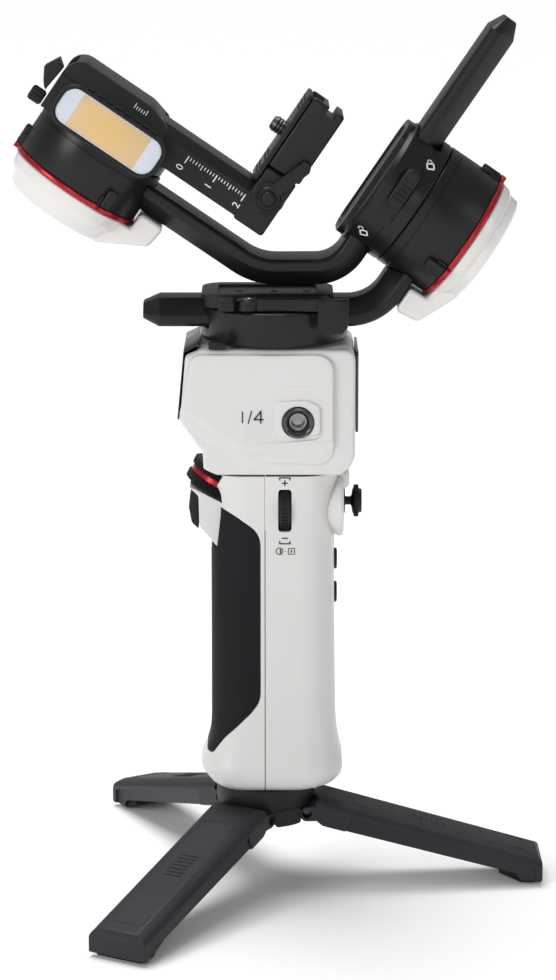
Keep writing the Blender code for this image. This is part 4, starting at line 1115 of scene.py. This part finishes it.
def roll_axis():
    r = MOTOR_RADIUS
    drum = turned([(r - 1.0, -0.12), (r - 0.3, -0.3), (r, -0.8), (r, -6.2), (r - 0.2, -6.3),
                   (r - 0.2, -6.5), (r, -6.6), (r, -15.4), (r - 0.3, -15.8), (23.8, -17.0)],
                  FINEST)
    drum.data.transform(Matrix.Rotation(math.radians(90), 4, "Y"))
    face = plate(arc_corners([(-12.5, -24.0, 7), (12.5, -24.0, 7), (12.5, 24.0, 7),
                              (-12.5, 24.0, 7)], 8), -18.8, -16.0, "x")
    with editing(face):
        choose(face, "FACE", lambda f: f.normal.x < -0.9)
        bpy.ops.mesh.inset(thickness=0.7)
        bpy.ops.mesh.inset(thickness=1.6)
        bpy.ops.mesh.inset(thickness=0.3, depth=-0.7)
    fuse(drum, soften(face, 0.3, 2, 40))
    half = ARM_HEIGHT / 2 + AIR
    slide = ARM_WIDTH / 2 + SLIDE_GAP
    tunnel = block((ROLL_BAR_X - half, -slide, -40), (ROLL_BAR_X + half, slide, 40))
    slot = plate(arc_corners([(-11.9, -15.0, 3.3), (-5.1, -15.0, 3.3), (-5.1, 12.6, 3.3),
                              (-11.9, 12.6, 3.3)], 10), -40, -22.4)
    cut(drum, tunnel, slot)
    settle(soften(drum, 0.18, 2, 50), "roll_clamp_drum", ROLL, "roll_base", "black_metal",
           SATIN, "roll_clamp", angle=30)
    screws = copies(soften(turned([(1.3, 0), (1.3, 0.35), (0.6, 0.35), (0.6, 0.05)], 32),
                           0.1, 2),
                    [Matrix.Translation((-18.1, y, z)) @ Matrix.Rotation(
                        math.radians(-90), 4, "Y") for y in (-7.5, 7.5) for z in (-17.5, 17.5)])
    settle(screws, "roll_plate_screws", ROLL, "roll_base", "steel", PLASTIC)

    slider = plate(arc_corners([(-11.5, -3.6, 2.9), (-5.5, -3.6, 2.9), (-5.5, 12.2, 2.9),
                                (-11.5, 12.2, 2.9)], 10), -26.2, -22.8)
    soften(slider, 0.7, 4, 50)
    ribs = []
    for k in range(4):
        z = -0.6 + 1.9 * k
        ribs.append(soften(block((-11.0, -26.75, z - 0.5), (-6.0, -25.8, z + 0.5)), 0.3, 3))
    fuse(slider, *ribs)
    dish = turned([(2.0, 0), (2.3, 0.6)], 40)
    dish.data.transform(Matrix.Translation((-8.5, -26.0, 9.4)) @ Matrix.Rotation(
        math.radians(90), 4, "X"))
    cut(slider, dish)
    settle(slider, "roll_lock_slider", ROLL, "roll_lock", "black_plastic", PLASTIC, "roll_lock",
           angle=30)
    marks = []
    for is_open, x, z in ((False, -5.0, 16.4), (True, -11.2, -17.4)):
        out = math.sqrt(r * r - z * z)
        for mark in padlock(is_open):
            mark.data.transform(Matrix.Translation((x, -out - 0.02, z))
                                @ Matrix.Rotation(-math.atan2(z, out), 4, "X")
                                @ Matrix.Rotation(math.radians(90), 4, "X")
                                @ Matrix.Rotation(math.radians(34), 4, "Z"))
            marks.append(mark)
    printed(marks, "padlock_marks", ROLL, "roll_base", WHITE_INK)

    lever = soften(block((-12.0, -3.0, 2.0), (-5.0, 0.0, 30.0)), 1.0, 4)
    eye = along(turned([(2.4, -13.0), (3.0, -12.5), (3.0, -4.5), (2.4, -4.0)], FEW), "x")
    fuse(lever, eye)
    settle(lever, "roll_lever_blade", ROLL @ spot(0, 28.5, -16.0), "roll_lever", "black_metal",
           BLACK, "roll_lever")
    shaft("roll", ROLL_LENGTH, ROLL_MOTOR, "roll_base")

    across, down = ROLL_BAR_KNEE - ROLL_BAR_X, TILT_ARM_Z - ROLL_BAR_LOW
    turn_in = math.degrees(math.atan2(down, across)) + 90
    turn_out = -90 - turn_in
    first_reach, second_reach = [radius * math.tan(math.radians(abs(turn)) / 2)
                                 for radius, turn in zip(ROLL_BAR_RADII, (turn_in, turn_out))]
    shape = bent_bar((ROLL_BAR_X, ROLL_BAR_TOP), -90, [
        ("run", ARM_TIP), ("run", ROLL_BAR_TOP - ROLL_BAR_LOW - ARM_TIP - first_reach),
        ("turn", ROLL_BAR_RADII[0], turn_in),
        ("run", math.hypot(across, down) - first_reach - second_reach),
        ("turn", ROLL_BAR_RADII[1], turn_out),
        ("run", ROLL_BAR_KNEE - (TILT_X + 20.0) - second_reach)], 0.5)
    cut(shape, motor_bore(spot(TILT_X), -90, 0))
    settle(soften(shape, 0.35, 2, 20), "roll_bar", ROLL, "roll_arm", "black_metal", BLACK,
           "roll_arm")


# ---- tilt axis ----
def tilt_axis():
    disc = turned([(24.4, -40.4), (24.4, -44.2), (24.0, -44.6), (20, -44.6)])
    hull = plate(arc_corners([(17.6, -40.8, 0), (17.6, -26.4, 2.5), (14.6, -23.3, 2.5),
                              (-15.0, -23.3, 3), (-24.9, -30.4, 3), (-24.9, -44.5, 0),
                              (-12.0, -44.5, 0), (-12.0, -42.0, 0)], 5), -26.5, 17.0, "x")
    side = plate(arc_corners([(-26.5, -46, 0), (-26.5, -23.3, 7), (7.0, -23.3, 8),
                              (17.0, -26.2, 4), (17.0, -46, 0)], 8), -40, 40)
    combine(hull, "INTERSECT", [side])
    fuse(disc, soften(hull, 0.7, 3, 35))
    tunnel = block((-60, -RAIL_HALF - SLIDE_GAP, RAIL_LOW - SLIDE_GAP),
                   (60, RAIL_HALF + SLIDE_GAP, RAIL_HIGH + SLIDE_GAP))
    cut(disc, tunnel)
    settle(soften(disc, 0.3, 2, 50), "tilt_clamp_housing", TILT, "tilt_base", "black_metal",
           BLACK, "tilt_clamp")

    bezel = plate(arc_corners([(-23.5, -46.3, 6.5), (21.3, -46.3, 6.5), (21.3, -29.8, 6.5),
                               (-23.5, -29.8, 6.5)], 10), -29.6, -25.2)
    soften(bezel, 0.6, 4, 50)
    window = plate(arc_corners([(-22.0, -45.2, 5.2), (19.8, -45.2, 5.2), (19.8, -30.9, 5.2),
                                (-22.0, -30.9, 5.2)], 10), -40, -27.2)
    cut(bezel, window)
    settle(bezel, "light_frame", TILT, "tilt_base", "black_plastic", PLASTIC, "light_bezel")
    lens = plate(arc_corners([(-21.8, -45.0, 5.0), (19.6, -45.0, 5.0), (19.6, -31.1, 5.0),
                              (-21.8, -31.1, 5.0)], 10), -29.1, -27.5)
    soften(lens, 0.3, 3, 50)
    settle(lens, "light_lens", TILT, "tilt_base", "diffuser", LENS_WHITE, "light_panel")
    glow = soften(block((-15.6, -29.16, -44.6), (13.4, -28.6, -31.5)), 0.2, 2)
    middle = TILT @ Vector((-1.1, -29.1, -38.0))
    warm = glowing("warm_diffuser", (0.66, 0.43, 0.17), (0.60, 0.44, 0.25), 17, 12, middle)
    settle(glow, "light_diffuser", TILT, "tilt_base", "diffuser", warm)
    vents = []
    for k in range(8):
        vents.append(soften(block((-15.5 + 3.9 * k, -27.4, -29.7),
                                  (-12.9 + 3.9 * k, -25.6, -28.9)), 0.25, 2))
    settle(joined(vents), "light_vents", TILT, "tilt_base", "black_plastic", PLASTIC)
    scale = joined([bar((2.0 + k, 0), (2.0 + k, 1.6 if k % 5 else 2.8), 0.22)
                    for k in range(6)])
    scale.data.transform(Matrix.Translation((0, -20.0, -26.75)) @ Matrix.Rotation(
        math.radians(35.7), 4, "X"))
    settle(scale, "housing_scale", TILT, "tilt_base", "black_plastic", WHITE_INK)

    wedge = plate([(-0.6, -1.0), (0.6, 9.0), (-2.6, 11.6), (-5.6, 6.0), (-3.0, 1.5),
                   (-1.5, -0.3)], -4.3, 4.3)
    settle(soften(wedge, 0.5, 3), "tilt_lever_wedge", TILT @ spot(-27.6, -19.6, -38.0),
           "tilt_lever", "black_metal", BLACK, "tilt_lever")
    knob = turned([(2.0, 0), (2.6, -0.5), (2.9, -0.9), (2.9, -3.0), (2.9, -4.7), (2.5, -5.4),
                   (1.8, -5.6), (1.5, -5.3)], 40)
    with editing(knob):
        choose(knob, "FACE", lambda f: abs(f.normal.z) < 0.2 and int(round(math.degrees(
            math.atan2(f.normal.y, f.normal.x)) / 9 - 0.5)) % 3 == 0
            and f.calc_center_median().z < -1)
        bpy.ops.transform.shrink_fatten(value=-0.4)
    along(knob, "x", (-26.9, -19.0, -42.6))
    settle(knob, "tilt_lock_knob", TILT, "tilt_lock", "black_plastic", PLASTIC, "tilt_lock",
           angle=25)
    shaft("tilt", TILT_LENGTH, TILT_MOTOR, "tilt_base")


# ---- camera rail and plate ----
def camera_mount():
    profile = [(-RAIL_HALF, RAIL_LOW), (RAIL_HALF, RAIL_LOW), (RAIL_HALF, RAIL_HIGH - 3.6),
               (RAIL_HALF - 3.6, RAIL_HIGH), (3.6 - RAIL_HALF, RAIL_HIGH),
               (-RAIL_HALF, RAIL_HIGH - 3.6)]
    rail = soften(plate(profile, -24.0, 58.0, "x"), 0.4, 3)
    corner = soften(block((54.2, -RAIL_HALF, -40.6), (67.0, RAIL_HALF, -17.6)), 1.2, 4)
    fuse(rail, corner)
    settle(rail, "camera_rail_bar", TILT, "camera_rail", "black_metal", BLACK, "camera_arm")
    unit = 12.4
    marks = []
    for k in range(21):
        x = TILT_ZERO + unit * k / 10
        tall = 2.6 if k % 10 == 0 else 1.7 if k % 5 == 0 else 1.0
        marks.append(bar((x, RULER_TOP), (x, RULER_TOP - tall), 0.28 if k % 10 else 0.4))
    for k in range(3):
        digit = digits(str(k), 0, 0, 3.9)
        digit.data.transform(spot(TILT_ZERO + unit * k - 0.6, RULER_TOP - 5.0, 0, 90))
        marks.append(digit)
    printed(marks, "rail_ruler", TILT @ facing_near(-RAIL_HALF), "camera_rail", WHITE_INK)

    back = soften(block((54.2, -RAIL_HALF, -17.2), (67.7, RAIL_HALF, 12.6)), 1.0, 4)
    cut(back, block((40.0, -9.6, -16.0), (58.7, 9.6, 30.0)),
        block((61.0, -20, 9.4), (64.8, 20, 20)))
    settle(soften(back, 0.2, 2, 50), "plate_mount", TILT, "camera_rail", "black_metal", BLACK,
           "platform")
    top = plate(arc_corners([(-14.0, -25.0, 2.5), (14.0, -25.0, 2.5), (14.0, 12.4, 2.5),
                             (-14.0, 12.4, 2.5)], 8), 52.2, 53.9, "x")
    soften(top, 0.35, 3, 50)
    grips = copies(soften(block((51.95, -10.5, -0.35), (52.5, 10.5, 0.35)), 0.15, 2),
                   [spot(0, 0, z) for z in (-22, -20, -16.5, -14.5, 5.5, 7.5, 9.5)])
    fuse(top, soften(block((53.0, -9.2, -12.0), (58.3, 9.2, 3.0)), 0.4, 2))
    bore = along(turned([(3.5, 40), (3.5, 70)], FEW), "x", (0, 0, -4.5))
    rebate = along(turned([(6.4, 54.0), (6.4, 70)], FEW), "x", (0, 0, -4.5))
    cut(top, bore, rebate)
    settle(top, "camera_plate", TILT, "quick_plate", "black_metal", BLACK, "quick_plate")
    settle(grips, "plate_grips", TILT, "quick_plate", "grip_rubber", RUBBER)
    threads = []
    for k in range(6):
        threads += [(2.75, 9.4 - 1.2 * k), (3.15, 8.8 - 1.2 * k)]
    screw = turned([(5.6, 11.7), (6.1, 11.3), (6.1, 9.9), (5.8, 9.7)] + threads
                   + [(2.5, 1.3), (2.1, 1.0)], FEW)
    along(screw, "x", (46.2, 0, -4.5))
    settle(screw, "camera_stud", TILT, "quick_plate", "steel", DARK_STEEL, "camera_screw", angle=25)

    place = TILT @ Matrix.Translation((61.0, -RAIL_HALF - AIR, -27.1)) @ Matrix.Rotation(
        math.radians(90), 4, "X")
    knob = turned([(5.7, 0), (6.0, 0.3), (6.0, 1.7), (5.6, 2.0), (5.0, 2.05), (4.9, 1.75),
                   (4.5, 1.75), (4.4, 2.3), (4.0, 2.75), (3.3, 2.8), (3.2, 2.5), (2.8, 2.5),
                   (2.7, 3.6), (2.3, 4.2), (1.6, 4.5), (0.7, 4.6)], 72)
    arm = plate(arc_corners([(-2.6, 3.0, 1), (2.2, 1.6, 1), (7.2, 16.0, 1.4), (6.2, 18.8, 1.4),
                             (3.2, 18.8, 1.4)], 6), 0.2, 2.8, "z")
    fuse(knob, soften(arm, 0.5, 3, 40))
    settle(knob, "plate_lever_knob", place, "plate_lever", "black_metal", SATIN, "plate_lever",
           angle=30)


handle()
handle_marks()
head()
controls()
tripod()
pan_arm()
pan_axis()
motor("roll", ROLL_LENGTH, 9.0, -PAN_ARM_ROOT - ARM_HEIGHT / 2, ROLL_MOTOR, 20.6, "pan_arm")
roll_axis()
motor("tilt", TILT_LENGTH, 11.6, TILT_ARM_Z - TILT_SPLIT - ARM_HEIGHT / 2, TILT_MOTOR, 18.8,
      "roll_arm")
tilt_axis()
camera_mount()
for node, body, slot, coat, name in (
        ("battery_pack", "handle", "cell", CELL, "battery_cells"),
        ("main_board", "handle", "board", BOARD, "circuit_plate")):
    refine(node, body, slot, coat, 0.3, 2, name=name)


# ---- camera, light and floor ----
def studio():
    camera = placed("camera", bpy.data.cameras.new("camera"))
    camera.location = (-0.00195, -1.17018, 0.41886)
    camera.rotation_euler = (math.radians(77.2), 0, 0)
    camera.data.lens = 116.62
    bpy.context.scene.camera = camera

    bpy.ops.mesh.primitive_plane_add(size=24, location=(0, 0, -0.0006))
    floor = bpy.context.object
    floor.name = "floor"
    floor.data.materials.append(finish("pale_floor", (0.93, 0.93, 0.93), 0.75, vary=0.005))

    world = bpy.data.worlds.new("soft_studio")
    world.use_nodes = True
    world.node_tree.nodes["Background"].inputs["Color"].default_value = (0.98, 0.99, 1, 1)
    world.node_tree.nodes["Background"].inputs["Strength"].default_value = 0.36
    bpy.context.scene.world = world
    bpy.context.scene.view_settings.view_transform = "Standard"
    overhead = placed("overhead", bpy.data.lights.new("overhead", "SUN"))
    overhead.data.energy = 2.4
    overhead.data.angle = math.radians(40)
    overhead.rotation_euler = (math.radians(-12), math.radians(-8), 0)
    for name, place, target, size, power in (
            ("key", (-1.9, -1.8, 1.1), (0, 0, 0.2), 1.0, 30),
            ("fill", (2.2, -1.2, 0.7), (0, 0, 0.2), 0.9, 5),
            ("front", (0.1, -2.6, 0.9), (0, 0, 0.2), 0.6, 6)):
        lamp = placed(name, bpy.data.lights.new(name, "AREA"))
        lamp.location = place
        lamp.rotation_euler = (Vector(target) - Vector(place)).to_track_quat("-Z", "Y").to_euler()
        lamp.data.size = size
        lamp.data.energy = power


studio()
